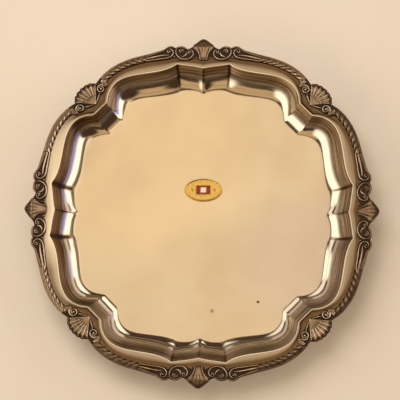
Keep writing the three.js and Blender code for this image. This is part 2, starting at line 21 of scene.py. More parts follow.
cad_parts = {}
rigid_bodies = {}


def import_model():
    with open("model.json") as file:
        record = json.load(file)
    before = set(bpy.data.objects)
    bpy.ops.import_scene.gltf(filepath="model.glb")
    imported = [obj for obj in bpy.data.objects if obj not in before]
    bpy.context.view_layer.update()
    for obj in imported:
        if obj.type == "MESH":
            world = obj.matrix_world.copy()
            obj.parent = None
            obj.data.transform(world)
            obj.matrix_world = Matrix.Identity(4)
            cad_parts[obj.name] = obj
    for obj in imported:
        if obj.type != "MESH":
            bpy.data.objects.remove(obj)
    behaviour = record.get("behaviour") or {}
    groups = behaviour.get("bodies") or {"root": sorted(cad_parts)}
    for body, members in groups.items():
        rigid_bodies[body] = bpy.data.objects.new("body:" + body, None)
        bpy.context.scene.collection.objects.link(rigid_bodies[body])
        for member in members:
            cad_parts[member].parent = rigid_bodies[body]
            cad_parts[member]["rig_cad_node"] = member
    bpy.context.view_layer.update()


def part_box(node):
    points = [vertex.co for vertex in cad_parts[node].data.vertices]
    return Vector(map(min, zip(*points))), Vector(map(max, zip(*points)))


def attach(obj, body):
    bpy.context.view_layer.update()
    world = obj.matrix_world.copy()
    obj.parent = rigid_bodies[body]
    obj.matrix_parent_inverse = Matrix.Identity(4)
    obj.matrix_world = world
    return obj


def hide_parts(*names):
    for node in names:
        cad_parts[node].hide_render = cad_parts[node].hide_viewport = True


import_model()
BODY = "root"

# %% [markdown]
# ## Sizes
#
# The frame says where every piece is, so the heights are read from it. The
# lesson works in millimetres, like a silversmith, and turns them into metres
# only when a mesh is made.

# %% Heights and driving sizes
MM = 0.001


def box_mm(node):
    low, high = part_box(node)
    return np.array(low) / MM, np.array(high) / MM


FOOT_HEIGHT = box_mm("salver_body")[0][2]
FLAT_Z = box_mm("badge_plate")[0][2]
LEDGE_Z = box_mm("gadroon_north_ne")[0][2]
SHEET = FLAT_Z - FOOT_HEIGHT
SIDE_REACH = 126.2
CORNER_REACH = 92.8
WALL_RUN = 18.7
FLANGE_RISE = 0.9
DISH_DEPTH = LEDGE_Z - FLANGE_RISE - FLAT_Z
BORDER_WIDTH = 7
print(f"flat at {FLAT_Z:.1f} mm, ledge at {LEDGE_Z:.1f} mm, sheet {SHEET:.1f} mm thick")

# %% [markdown]
# ## Two helpers for curves
#
# Every outline on the salver is a chain of Bezier curves. A quadratic curve has
# one handle and a cubic has two, and both are short formulas, so one function
# serves for both. `mid` and `corner` give places on one side, and the other
# sides are the same shape turned by a quarter. `ramp` climbs from nothing to
# one over a stretch, which is how one finish or height fades into another.

# %% Places and curves
def mid(u, outward):
    return np.array([u, SIDE_REACH + outward], float)


def corner(u, v):
    return np.array([CORNER_REACH + u, CORNER_REACH + v], float)


def bezier(handles, t):
    points = [np.asarray(p, float) for p in handles]
    t = np.asarray(t, float)[:, None]
    level = [p + 0 * t for p in points]
    while len(level) > 1:
        level = [a * (1 - t) + b * t for a, b in zip(level, level[1:])]
    return level[0]


def unit(vectors):
    return vectors / np.maximum(np.linalg.norm(vectors, axis=-1, keepdims=True), 1e-9)


def ramp(value, start, over):
    return np.clip((value - start) / over, 0, 1)


print("middle of the north side:", mid(0, 0), "corner point:", corner(0, 0))


# %% [markdown]
# ## The outlines of the dish
#
# Seen from above, half a side of the dish is a lobe, a bracket and a long
# shoulder that swings round to the corner. Lobe and bracket meet at a kink. The
# wall leans in as it goes down, and each point of the outline moves in along its
# own line, so the creases between the lobes run straight down to the flat.

# %% Half a side of the dish
LOBE_STEPS, BRACKET_STEPS, SHOULDER_STEPS, CORNER_STEPS = 20, 20, 54, 15
KINK_ALONG = 23.1
KINK_LEAN = 0.12


def chain(*stretches):
    parts = []
    for handles, steps in stretches:
        skip = 1 if parts else 0
        parts.append(bezier(handles, np.linspace(0, 1, steps + 1))[skip:])
    return np.concatenate(parts)


def wall_outline(inward):
    def into(place, u, v):
        return place + np.array([u, v]) * inward

    kink = into(mid(KINK_ALONG, 3.9), -KINK_LEAN, -1.07)
    shoulder = into(mid(44, -3.7), -0.21, -0.9)
    scoop = [into(mid(5, 1.8), -0.03, -0.87), into(mid(16, 2.4), 0.03, -0.88)]
    lobe = [into(mid(0, 0), 0, -1), *scoop, kink]
    bracket = [kink, into(mid(30, -1.6), -0.24, -0.93), shoulder]
    swing = [
        shoulder,
        into(mid(62, -6.7), -0.32, -0.85),
        into(np.array([CORNER_REACH - 10, SIDE_REACH - 6.7]), -0.68, -0.79),
        into(corner(-9.1, 2.5), -0.67, -0.685),
    ]
    return chain((lobe, LOBE_STEPS), (bracket, BRACKET_STEPS), (swing, SHOULDER_STEPS))


RUN_HANDLES = [
    mid(41, 10.4),
    mid(60.5, 6.8),
    np.array([CORNER_REACH - 12.3, SIDE_REACH + 1.8]),
    corner(-1.6, 17),
]
RUN_START, RUN_END, RIM_START = 0.16, 0.9, 0.08


def across_run(t, outward):
    t = np.atleast_1d(t)
    nudge = 1e-4
    along = unit(bezier(RUN_HANDLES, t + nudge) - bezier(RUN_HANDLES, t - nudge))
    side = np.stack([-along[:, 1], along[:, 0]], 1)
    return bezier(RUN_HANDLES, t) + side * np.asarray(outward, float).reshape(-1, 1)


def rim_outline(start, lobe, kink, bracket, outward, last=None):
    shoulder = across_run(np.linspace(RIM_START, 1, SHOULDER_STEPS + 1), outward)
    if last is not None:
        blend = np.linspace(0, 1, SHOULDER_STEPS + 1)[:, None] ** 6
        shoulder = shoulder * (1 - blend) + last * blend
    to_kink, to_shoulder = [start, lobe, kink], [kink, bracket, shoulder[0]]
    first = chain((to_kink, LOBE_STEPS), (to_shoulder, BRACKET_STEPS))
    return np.concatenate([first, shoulder[1:]])


def ledge_outline():
    places = mid(0, 5.2), mid(10, 7.4), mid(KINK_ALONG, 7.1), mid(33, 6.6)
    return rim_outline(*places, -BORDER_WIDTH / 2 - 0.6, corner(-6.2, 3))


def edge_outline():
    places = mid(0, 14.8), mid(10, 15), mid(KINK_ALONG, 15.2), mid(34, 14.4)
    return rim_outline(*places, BORDER_WIDTH / 2 - 1.2)


def turn_quarter(points, quarters):
    c, s = [(1, 0), (0, -1), (-1, 0), (0, 1)][quarters % 4]
    x, y = points[..., 0], points[..., 1]
    turned = points.copy()
    turned[..., 0], turned[..., 1] = x * c - y * s, x * s + y * c
    return turned


def ring_of(half):
    side = np.concatenate([half[:0:-1] * [-1, 1], half])
    share = np.linspace(0, 1, CORNER_STEPS + 1)[1:-1, None]
    across = side[-1] * (1 - share) + turn_quarter(side[0], 1) * share
    whole_side = np.concatenate([side, across])
    return np.concatenate([turn_quarter(whole_side, k) for k in range(4)])


print("points round one ring:", len(ring_of(wall_outline(0))))

# %% [markdown]
# ## Making a closed skin from rings
#
# Most of the salver is a loft: one closed ring of points after another, joined
# by quads, with a flat end at each side. The signed volume of the finished
# skin tells whether its faces point out, and they are turned over if not.

# %% Loft helper
def loft_faces(rings, around):
    corners = np.arange(rings * around).reshape(rings, around)
    near, far = corners[:-1], corners[1:]
    quads = np.stack([near, np.roll(near, -1, 1), np.roll(far, -1, 1), far], -1)
    ends = [list(map(int, corners[0][::-1])), list(map(int, corners[-1]))]
    return quads.reshape(-1, 4).tolist() + ends


def signed_volume(points, faces):
    total = 0
    for size in sorted(set(map(len, faces))):
        group = points[np.array([f for f in faces if len(f) == size])]
        for k in range(1, size - 1):
            a, b, c = group[:, 0], group[:, k], group[:, k + 1]
            total += np.einsum("ij,ij->", a, np.cross(b, c)) / 6
    return total


def skin(name, shells, scale=MM, sharp=None):
    points, faces = [], []
    for shell_points, shell_faces in shells:
        if signed_volume(shell_points - shell_points.mean(0), shell_faces) < 0:
            shell_faces = [f[::-1] for f in shell_faces]
        offset = sum(map(len, points))
        points.append(shell_points)
        faces += [[k + offset for k in f] for f in shell_faces]
    mesh = bpy.data.meshes.new(name)
    mesh.from_pydata((np.concatenate(points) * scale).tolist(), [], faces)
    mesh.shade_smooth()
    if sharp is not None:
        mesh.set_sharp_from_angle(angle=radians(sharp))
    return mesh


def loft(rings):
    rings = np.asarray(rings, float)
    return rings.reshape(-1, 3), loft_faces(len(rings), rings.shape[1])


def piece(name, mesh, stands_for=()):
    thing = bpy.data.objects.new(name, mesh)
    bpy.context.scene.collection.objects.link(thing)
    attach(thing, BODY)
    if stands_for:
        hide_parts(*stands_for)
    return thing


def mark(mesh, name, values):
    layer = mesh.attributes.new(name, "FLOAT", "POINT")
    layer.data.foreach_set("value", np.asarray(values, np.float32).ravel())


CUBE = np.array([[x, y, z] for z in (0, 1) for x, y in ((0, 0), (1, 0), (1, 1), (0, 1))], float)
print("signed volume of a test cube:", signed_volume(CUBE, loft_faces(2, 4)))


# %% [markdown]
# ## The raised dish
#
# A silversmith raises the dish from one sheet, so it is one skin: the flat, a
# deep hollow, a small rounded lip and the flange, then back under the whole way
# at the sheet's thickness. The hollow is part of an ellipse. It leaves the flat
# at an angle, so a crisp line shows there, and it is steep where it ends.
# The section is a list of places, and each place becomes a ring.

# %% Section of the wall
HOLLOW_ROWS, LIP_ROWS, FLANGE_ROWS = 48, 8, 12
FIRST_TURN, LAST_TURN = 0.3, 1.1
LIP_RADIUS = 0.5


def hollow_section():
    turn = np.linspace(FIRST_TURN, LAST_TURN, HOLLOW_ROWS + 1)
    out = (np.sin(turn) - sin(FIRST_TURN)) / (sin(LAST_TURN) - sin(FIRST_TURN))
    up = (cos(FIRST_TURN) - np.cos(turn)) / (cos(FIRST_TURN) - cos(LAST_TURN))
    return np.stack([out * WALL_RUN, up * DISH_DEPTH], 1)


FRONT = hollow_section()
LEAN = np.arctan2(np.gradient(FRONT[:, 1]), np.gradient(FRONT[:, 0]))
lip_turn = np.linspace(LEAN[-1], -0.1, LIP_ROWS + 1)[1:]
lip_middle = FRONT[-1] + LIP_RADIUS * np.array([sin(LEAN[-1]), -cos(LEAN[-1])])
LIP = lip_middle + LIP_RADIUS * np.stack([-np.sin(lip_turn), np.cos(lip_turn)], 1)
BACK = FRONT + SHEET * np.stack([np.sin(LEAN), -np.cos(LEAN)], 1)
BACK = BACK[(BACK[:, 1] < DISH_DEPTH - 1.6 * SHEET) & (BACK[:, 0] > 0.3)][::-1]
print("section rows:", len(FRONT), "above,", len(BACK), "below")

# %% [markdown]
# ### From section to rings
#
# Each ring is kept with a number for how dark it is, partly tarnish and partly
# painted shade. The flat is wiped clean and the wall tarnishes from half way up.
# The flange has a brown film, and painted shade makes it darker outwards and
# dark where it runs under the castings. The number is read again further on.

# %% Rings of the dish
FLAT_SHARES = [0.02, 0.2, 0.4, 0.6, 0.75, 0.86, 0.93, 0.97, 0.99]
FLANGE_TARNISH, LEDGE_SHADE, UNDER_TARNISH, BACK_TARNISH = 0.72, 1.0, 0.4, 0.3


def level(ring, z):
    return np.concatenate([ring, np.full((len(ring), 1), z)], 1)


def dish_rings():
    flat_edge = ring_of(wall_outline(WALL_RUN))
    lip, ledge, edge = (ring_of(half) for half in (wall_outline(0), ledge_outline(), edge_outline()))
    rings = [level(flat_edge * share, FLAT_Z) for share in FLAT_SHARES]
    darkness = [0.0] * len(rings)
    for out, up in np.concatenate([FRONT, LIP]):
        rings.append(level(ring_of(wall_outline(WALL_RUN - out)), FLAT_Z + up))
        darkness.append(ramp(out / WALL_RUN, 0.45, 0.3) * (up < DISH_DEPTH))
    lip_ring, lip_height = rings[-1][:, :2], LIP[-1][1]
    for share in np.linspace(0, 1, FLANGE_ROWS + 1)[1:]:
        climb = (LEDGE_Z - FLAT_Z - lip_height) * share**1.3
        rings.append(level(lip_ring * (1 - share) + ledge * share, FLAT_Z + lip_height + climb))
        # Brown film, with painted shade growing outwards towards the castings.
        darkness.append(FLANGE_TARNISH + 0.4 * ramp(share, 0.3, 0.5))
    # Painted shade on the ledge under the castings.
    for share in (0.35, 0.7, 0.94, 1):
        drop = 0.35 * SHEET * (share == 1)
        rings.append(level(ledge * (1 - share) + edge * share, LEDGE_Z - 0.05 - drop))
        darkness.append(LEDGE_SHADE)
    for share, drop in ((1, 0.7), (0.94, 1), (0.5, 1), (0, 1)):
        rings.append(level(ledge * (1 - share) + edge * share, LEDGE_Z - SHEET * drop))
        darkness.append(UNDER_TARNISH)
    rings.append(level(lip * 0.35 + ledge * 0.65, LEDGE_Z - SHEET))
    darkness.append(UNDER_TARNISH)
    for out, up in BACK:
        rings.append(level(ring_of(wall_outline(WALL_RUN - out)), FLAT_Z + up))
        darkness.append(BACK_TARNISH)
    rings += [level(flat_edge * share, FOOT_HEIGHT) for share in FLAT_SHARES[::-1]]
    darkness += [BACK_TARNISH] * len(FLAT_SHARES)
    return np.array(rings), np.array(darkness)


dish, ring_tarnish_and_shade = dish_rings()
print("dish:", len(dish), "rings of", dish.shape[1], "points")

# %% [markdown]
# ### Rounding the folds
#
# A hammer leaves no knife edges. Each fold of the wall is sharp where it meets
# the flat and the lip, and rounded between them. Smoothing the whole dish would
# lose the sharp ends, so a weight says how far each point may move: most close
# to a fold half way up the wall, and nothing at the flat or the lip. In each
# pass a point moves towards the middle of its two neighbours on the ring, and
# the number of passes comes from the radius wanted.

# %% Folds
FOLD_RADIUS = 2.2
FOLD_REACH, MIDDLE_REACH = 3, 2


def soften(rings, passes_along, passes_across):
    for _ in range(passes_along):
        rings = 0.5 * rings + 0.25 * (np.roll(rings, 1, 1) + np.roll(rings, -1, 1))
    for _ in range(passes_across):
        inner = 0.5 * rings[1:-1] + 0.25 * (rings[2:] + rings[:-2])
        rings = np.concatenate([rings[:1], inner, rings[-1:]])
    return rings


first_wall = len(FLAT_SHARES)
dish[first_wall:] = soften(dish[first_wall:], 1, 0)
flat_bend = slice(first_wall - 1, first_wall + 3)
dish[flat_bend] = soften(dish[flat_bend], 0, 1)
on_wall = slice(first_wall, first_wall + len(FRONT))
wall_out = FRONT[:, :1] / WALL_RUN
along_side = np.abs(dish[on_wall, :, :2]).min(2)
from_kink = along_side - (KINK_ALONG - KINK_LEAN * WALL_RUN * (1 - wall_out))
round_off = np.exp(-((from_kink / FOLD_REACH) ** 2)) + np.exp(-((along_side / MIDDLE_REACH) ** 2))
round_off *= np.clip(8 * wall_out * (1 - wall_out), 0, 1)
spacing = np.linalg.norm(np.diff(dish[first_wall, :, :2], axis=0), axis=1).mean()
for _ in range(int(FOLD_RADIUS**2 / spacing**2)):
    wall = dish[on_wall]
    middle = 0.5 * (np.roll(wall, 1, 1) + np.roll(wall, -1, 1))
    dish[on_wall] = wall + 0.5 * round_off[..., None] * (middle - wall)
dish_mesh = skin("salver_dish", [loft(dish)], sharp=50)
print("points on a ring are", round(float(spacing), 3), "mm apart; faces:", len(dish_mesh.polygons))

# %% [markdown]
# ### Tarnish and painted shade on the flange and the wall
#
# Silver goes brown where it isn't rubbed. Over that tarnish, painted shade and
# painted reflection change the darkness by side: the right wall and flange and
# the lower left of the flange are painted darker, and the upper left flange is
# painted bright, as where it mirrors a bright window. Painting an image would do
# this, but a number at each point is exact, needs no unwrapping and follows the
# shape. So the number of each ring is spread round it and then changed by side.

# %% Tarnish and painted shade of the flange
first_flange = first_wall + len(FRONT) + len(LIP)
on_flange = slice(first_flange, first_flange + FLANGE_ROWS)
flange_x, flange_y = dish[on_flange, :, 0], dish[on_flange, :, 1]
flange_out = np.linspace(0, 1, FLANGE_ROWS + 1)[1:, None]
tarnish_and_shade = np.repeat(ring_tarnish_and_shade[:, None], dish.shape[1], 1)
# Painted reflection and shade: the left flange is made bright, except along its lower part, and the rest
# keeps its full darkness.
shaded_side = np.maximum(ramp(flange_x, -128, 20), np.minimum(ramp(-flange_y, 28, 34), 0.75))
tarnish_and_shade[on_flange] *= 0.12 + 0.88 * shaded_side + 0.22 * flange_out * (1 - shaded_side)
# Painted shade: the right flange is evenly dark, and darker still near the border.
right_flange = ramp(flange_x, 122, 12)
right_flange_shade = 0.8 + 0.35 * ramp(flange_out, 0.75, 0.2)
tarnish_and_shade[on_flange] += right_flange * (right_flange_shade - tarnish_and_shade[on_flange])
print("tarnish of the flange:", tarnish_and_shade[on_flange].min().round(2), "to", tarnish_and_shade[on_flange].max().round(2))

# %% Tarnish and painted shade of the wall
wall_x, wall_y = dish[on_wall, :, 0], dish[on_wall, :, 1]
sideways = np.clip(0.5 + (np.abs(wall_x) - np.abs(wall_y)) / 60, 0, 1)
right, left = sideways * (wall_x > 0), sideways * (wall_x < 0)
bottom = (1 - sideways) * (wall_y < 0)
# Painted shade by side: every wall but the left is lightened, the left is darkened, and the right wall is
# painted dark from a little over a third of the way up.
tarnish_and_shade[on_wall] *= 0.74 + 0.34 * left
tarnish_and_shade[on_wall] += right * (0.92 * ramp(wall_out, 0.38, 0.4) - tarnish_and_shade[on_wall])
print("mean tarnish of the wall:", tarnish_and_shade[on_wall].mean().round(2))

# %% [markdown]
# ### Creases and streaks
#
# Polish never gets right into a fold, so a narrow line of oxide is left along
# each. It is partly painted shade: wider and darker on the left and fainter at
# the bottom.
# Wiping also leaves faint streaks that run up the wall. They are random, and
# the dice have a seed, so that they fall the same way every time.

# %% Creases and streaks
CREASE_WIDTH, CREASE_OXIDE_AND_SHADE = 0.9, 1.1
STREAKS, STREAK_TARNISH = 40, 0.18
# Oxide in the folds with painted shade: wider and darker on the left, fainter at the bottom.
crease = np.exp(-((from_kink / (CREASE_WIDTH + 0.7 * left)) ** 2))
crease += 0.7 * np.exp(-((along_side / 0.6) ** 2))
crease *= (1 + 0.5 * left - 0.7 * bottom) * ramp(wall_out, 0.1, 0.2)
tarnish_and_shade[on_wall] += CREASE_OXIDE_AND_SHADE * crease
dice = np.random.default_rng(7)
marks = dice.normal(size=(len(FRONT), STREAKS))
marks = np.concatenate([marks, marks[:, :1]], 1)
where = np.linspace(0, STREAKS, dish.shape[1], endpoint=False)
streaks = np.stack([np.interp(where, np.arange(STREAKS + 1), row) for row in marks])
tarnish_and_shade[on_wall] += STREAK_TARNISH * streaks * ramp(wall_out, 0.3, 0.25)
mark(dish_mesh, "oxide", tarnish_and_shade)
print("most tarnish in a crease:", tarnish_and_shade[on_wall].max().round(2))

# %% The dish as a piece
wall_share = np.ones(len(dish))
wall_share[:first_wall + 1] = 0
wall_share[first_wall + 1] = 0.5
mark(dish_mesh, "wall", np.repeat(wall_share, dish.shape[1]))
salver = piece("salver_dish", dish_mesh, ["salver_body"])
print("made", salver.name)

# %% [markdown]
# ## Gadrooned runs
#
# Gadroons are rounded lobes set side by side like the strands of a rope, and
# here they lean over towards the corner. Cast silver keeps a deep, dark notch
# between two lobes. The run is a fine net of points whose height is a formula:
# an envelope across the run, less a groove that repeats along it. The same
# groove is written to a point attribute, which the finish reads later, so the
# dark tarnish lies exactly where a polishing cloth never reaches. That attribute
# also carries painted shade on the outer half of the run and small painted
# glints on the lobes, and each side gets more painted shade of its own, from the
# north round to the west: the east and south darker, the west a little lighter.

# %% One gadrooned run
RUN_NODE = box_mm("gadroon_north_ne")
BORDER_HEIGHT = RUN_NODE[1][2] - RUN_NODE[0][2]
LOBES = 8
LOBE_GRAIN = 24
RUN_COLUMNS = 30
ENVELOPE = [(0, 0.24), (0.06, 0.55), (0.16, 0.84), (0.32, 1), (0.5, 0.93), (0.66, 0.74),
            (0.745, 0.56), (0.8, 0.62), (0.87, 0.66), (0.94, 0.55), (0.98, 0.36), (1, 0.2)]
GROOVE = [(0, 1), (0.2, 0.95), (0.36, 0.6), (0.52, 0.3), (0.7, 0.16), (0.85, 0.08), (1, 0)]


def follow(table, share):
    x, y = np.array(table, float).T
    fine = np.interp(np.linspace(0, 1, 201), x, y)
    for _ in range(12):
        fine[1:-1] = 0.5 * fine[1:-1] + 0.25 * (fine[2:] + fine[:-2])
    return np.interp(share, np.linspace(0, 1, 201), fine)


def run_grid(hand):
    steps = LOBES * LOBE_GRAIN
    along = np.linspace(0, 1, steps + 1)
    t = RUN_START + (RUN_END - RUN_START) * along
    share = np.linspace(0, 1, RUN_COLUMNS + 1)
    a, s = np.meshgrid(along, share, indexing="ij")
    phase = a * LOBES - 1.9 * s - 0.2 * np.sin(2 * pi * s)
    lobe = np.abs(np.sin(pi * phase)) ** 0.6
    weight = 0.75 + 0.25 * np.sin(2.399 * np.floor(phase) + 1.3)
    dip = follow(GROOVE, s) * (1 - lobe) * 1.5 * weight
    height = np.maximum(BORDER_HEIGHT * follow(ENVELOPE, s) - dip, 0.25)
    waist = 0.62 * (1 - lobe) * np.clip(1 - 5 * s, 0, 1)
    outward = (s - 0.5) * BORDER_WIDTH + waist
    place = np.stack([across_run(t, outward[:, k]) for k in range(RUN_COLUMNS + 1)], 1)
    top = np.concatenate([place, (LEDGE_Z + height)[..., None]], -1)
    # Painted highlights and shade: small bright glints on the lobes near the inner edge, and a darker outer
    # half.
    painted_glint = 0.5 * lobe**3 * np.exp(-(((s - 0.24) / 0.11) ** 2))
    outer_shade = 0.27 * np.clip((s - 0.4) * 5, 0, 1)
    inner_edge = 0.9 * np.clip(1 - 11 * s, 0, 1)
    oxide = np.clip(dip + outer_shade + inner_edge - painted_glint, -0.4, 1)
    top[..., 0] *= hand
    return top, oxide


def casting_rings(top):
    low = top[:, [-1, 0]].copy()
    low[..., 2] = LEDGE_Z
    return np.concatenate([top, low], 1)


def quarter_turns(mesh, quarters, name):
    turned = mesh.copy()
    turned.name = name
    turned.transform(Matrix.Rotation(-quarters * pi / 2, 4, "Z"))
    return turned


# Adds painted shade to every point of a piece.
def add_painted_shade(mesh, extra):
    layer = mesh.attributes["oxide"].data
    values = np.zeros(len(layer), np.float32)
    layer.foreach_get("value", values)
    layer.foreach_set("value", values + np.float32(extra))
    return mesh


SIDES = ["north", "east", "south", "west"]
CORNERS = ["ne", "se", "sw", "nw"]
# Painted shade by side, from the north round to the west.
SIDE_SHADE = [0.0, 0.3, 0.22, -0.1]
runs = []
for hand, shift in ((1, 0), (-1, 3)):
    top, oxide = run_grid(hand)
    run_mesh = skin("gadroon_run", [loft(casting_rings(top))], sharp=75)
    mark(run_mesh, "oxide", np.concatenate([oxide, np.ones((len(top), 2))], 1))
    for k, side in enumerate(SIDES):
        node = f"gadroon_{side}_{CORNERS[(k + shift) % 4]}"
        name = node.replace("gadroon", "run")
        turned = add_painted_shade(quarter_turns(run_mesh, k, name), SIDE_SHADE[k])
        runs.append(piece(name, turned, [node]))
print("runs:", len(runs), "with", len(run_mesh.polygons), "faces each")

# %% [markdown]
# ## Cast ornament
#
# Shells and scrolls are modelled in wax and cast, so every form melts into the
# next. The pieces are first built as plain closed lofts that overlap: a flat
# ground, ridges swept along curves, beads and fluted shells. A voxel remesh
# then turns the heap into one skin, and a light smoothing softens the joins.
# The hollows are found by comparing each point's height with the average
# height round it, and that difference becomes a point attribute of oxide. Each
# pattern may add darkening of its own to it, such as painted shade along its
# outside and on its rim.
# Neighbouring castings run a fifth of a millimetre into each other, because a
# soldered joint is filled and shows no gap.

# %% Ridges, beads and plates
RIDGE_ARC = np.linspace(0, pi, 11)


def spaced(points, steps):
    """A smooth curve through the points, cut into equal steps."""
    points = np.asarray(points, float)
    padded = np.concatenate([[2 * points[0] - points[1]], points, [2 * points[-1] - points[-2]]])
    fine = []
    for p0, p1, p2, p3 in zip(padded, padded[1:], padded[2:], padded[3:]):
        t = np.linspace(0, 1, 12, endpoint=False)[:, None]
        fine.append(0.5 * (2 * p1 + (p2 - p0) * t + (2 * p0 - 5 * p1 + 4 * p2 - p3) * t**2
                           + (3 * p1 - p0 - 3 * p2 + p3) * t**3))
    fine = np.concatenate(fine + [points[-1:]])
    length = np.concatenate([[0], np.cumsum(np.linalg.norm(np.diff(fine, axis=0), axis=1))])
    wanted = np.linspace(0, length[-1], steps + 1)
    return np.stack([np.interp(wanted, length, fine[:, k]) for k in range(2)], 1)


def along_path(values, steps):
    return np.interp(np.linspace(0, 1, steps), np.linspace(0, 1, len(values)), values)


def ridge(path, widths, heights):
    width, height = along_path(widths, len(path)), along_path(heights, len(path))
    along = unit(np.gradient(path, axis=0))
    side = np.stack([-along[:, 1], along[:, 0]], 1)
    across = np.cos(RIDGE_ARC) * 0.5
    place = path[:, None] + side[:, None] * (across[None] * width[:, None])[..., None]
    z = LEDGE_Z + height[:, None] * np.sin(RIDGE_ARC)[None] ** 0.85
    top = np.concatenate([place, z[..., None]], -1)
    return loft(casting_rings(top))


def bead(place, radius, height):
    angle = np.linspace(0, 2 * pi, 20, endpoint=False)
    rings = []
    for lift in np.linspace(0, 1, 8):
        r = radius * max(cos(lift * pi / 2), 0.05)
        ring = np.asarray(place) + r * np.stack([np.cos(angle), np.sin(angle)], 1)
        rings.append(level(ring, LEDGE_Z + height * sin(lift * pi / 2)))
    foot = rings[0].copy()
    foot[:, 2] = LEDGE_Z
    return loft([foot] + rings)


def plate(outline, height):
    inner = outline.mean(0) + (outline - outline.mean(0)) * 0.995
    rings = [level(outline, LEDGE_Z), level(outline, LEDGE_Z + height * 0.8)]
    return loft(rings + [level(inner, LEDGE_Z + height)])


def coil(centre, start_radius, end_radius, start, sweep, steps):
    share = np.linspace(0, 1, steps + 1)
    angle = radians(start) + radians(sweep) * share
    radius = start_radius + (end_radius - start_radius) * share
    return np.asarray(centre) + np.stack([radius * np.cos(angle), radius * np.sin(angle)], 1)


print("points on a test bead:", len(bead((0, 0), 1, 1)[0]))

# %% Turning a heap of shells into one casting
VOXEL = 0.24
MELT_PASSES = 3
WIDE_PASSES, NEAR_PASSES = 60, 8
HOLLOW_DEPTH = 0.42
BRIGHTEST, DARKEST = -0.4, 1


def neighbour_average(values, edges, passes):
    a, b = edges.T
    count = np.bincount(edges.ravel(), minlength=len(values))
    for _ in range(passes):
        total = np.bincount(a, values[b], len(values)) + np.bincount(b, values[a], len(values))
        values = 0.5 * values + 0.5 * total / np.maximum(count, 1)
    return values


def one_skin(name, shells):
    heap = bpy.data.objects.new(name, skin(name, shells, scale=1))
    bpy.context.scene.collection.objects.link(heap)
    remesh = heap.modifiers.new("one skin", "REMESH")
    remesh.mode = "VOXEL"
    remesh.voxel_size = VOXEL
    remesh.use_smooth_shade = True
    melt = heap.modifiers.new("melt", "SMOOTH")
    melt.factor = 0.5
    melt.iterations = MELT_PASSES
    graph = bpy.context.evaluated_depsgraph_get()
    mesh = bpy.data.meshes.new_from_object(heap.evaluated_get(graph))
    bpy.data.objects.remove(heap)
    return mesh


def cast(name, shells, extra):
    mesh = one_skin(name, shells)
    points = np.zeros(len(mesh.vertices) * 3, np.float32)
    mesh.vertices.foreach_get("co", points)
    points = points.reshape(-1, 3).astype(float)
    edges = np.zeros(len(mesh.edges) * 2, np.int32)
    mesh.edges.foreach_get("vertices", edges)
    height = points[:, 2]
    hollow_by = neighbour_average(height, edges.reshape(-1, 2), WIDE_PASSES) - height
    near = neighbour_average(height, edges.reshape(-1, 2), NEAR_PASSES) - height
    low_down = np.clip((2 - (height - LEDGE_Z)) / 0.8, 0, 1)
    oxide = np.maximum(hollow_by, 0) / HOLLOW_DEPTH + 3 * near / HOLLOW_DEPTH + 0.85 * low_down
    oxide = np.clip(np.clip(oxide, BRIGHTEST, DARKEST) + extra(points), BRIGHTEST, DARKEST)
    points[:, 2] = np.maximum(points[:, 2], LEDGE_Z)
    mesh.vertices.foreach_set("co", (points * MM).astype(np.float32).ravel())
    mark(mesh, "oxide", oxide)
    mesh.update()
    mesh.name = name
    print(name, "faces:", len(mesh.polygons))
    return mesh


print("castings are remeshed at", VOXEL, "mm")


# %% [markdown]
# ## Side mounts
#
# In the middle of each side a shell stands between a C scroll and a longer J
# scroll that runs into the gadroons. The silhouette is drawn once for the right
# half and mirrored. The scrolls are bright thin ridges that coil round beads,
# with a low dark ground between them and a rolled crest along the outside.

# %% Ground and crests of a side mount
JOINT_GAP = -0.2
RUN_LENGTH = np.linalg.norm(np.diff(bezier(RUN_HANDLES, np.linspace(0, 1, 200)), axis=0), axis=1).sum()
MOUNT_END = RUN_START - JOINT_GAP / RUN_LENGTH
SHELL_POINT = 7
SHELL_REACH = 26.3
SHELL_HALF_WIDTH = 9.4
MOUNT_GROUND = 1.25
SHELL_WIDTHS = [(0, 0.3), (0.14, 0.34), (0.33, 0.48), (0.52, 0.76),
                (0.64, 0.97), (0.7, 0.97), (0.83, 0.6), (1, 0.07)]


def mount_outline():
    outer, inner = (across_run(MOUNT_END, side * BORDER_WIDTH / 2)[0] for side in (1, -1))
    stretches = [
        [mid(0, SHELL_REACH), mid(3, SHELL_REACH), mid(8.46, 20.2)],
        [mid(8.46, 20.2), mid(11.5, 17.6), mid(14.2, 17.2)],
        [mid(14.2, 17.2), mid(17, 20.4), mid(21, 19.7)],
        [mid(21, 19.7), mid(23.6, 19.3), mid(24.6, 18)],
        [mid(24.6, 18), mid(27, 20.6), mid(31, 19.4)],
        [mid(31, 19.4), mid(36, 14.6), outer],
        [outer, inner],
        [inner, mid(40, 6.6), mid(31, 7.7)],
        [mid(31, 7.7), mid(27, 8.4), mid(25, 9.3)],
        [mid(25, 9.3), mid(21, 6.4), mid(16, 6.6)],
        [mid(16, 6.6), mid(10, 7.2), mid(7, 9.4)],
        [mid(7, 9.4), mid(3, SHELL_POINT)],
    ]
    half = chain(*[(handles, 10) for handles in stretches])
    return np.concatenate([half, half[:0:-1] * [-1, 1]])


print("points round a side mount:", len(mount_outline()))

# %% Where a side mount is dark
OUTSIDE_LINE = [(0, 26.3), (8.46, 20.2), (14.2, 17.2), (18, 20),
                (24.6, 18.6), (28, 20.4), (33, 17.4), (47, 12)]


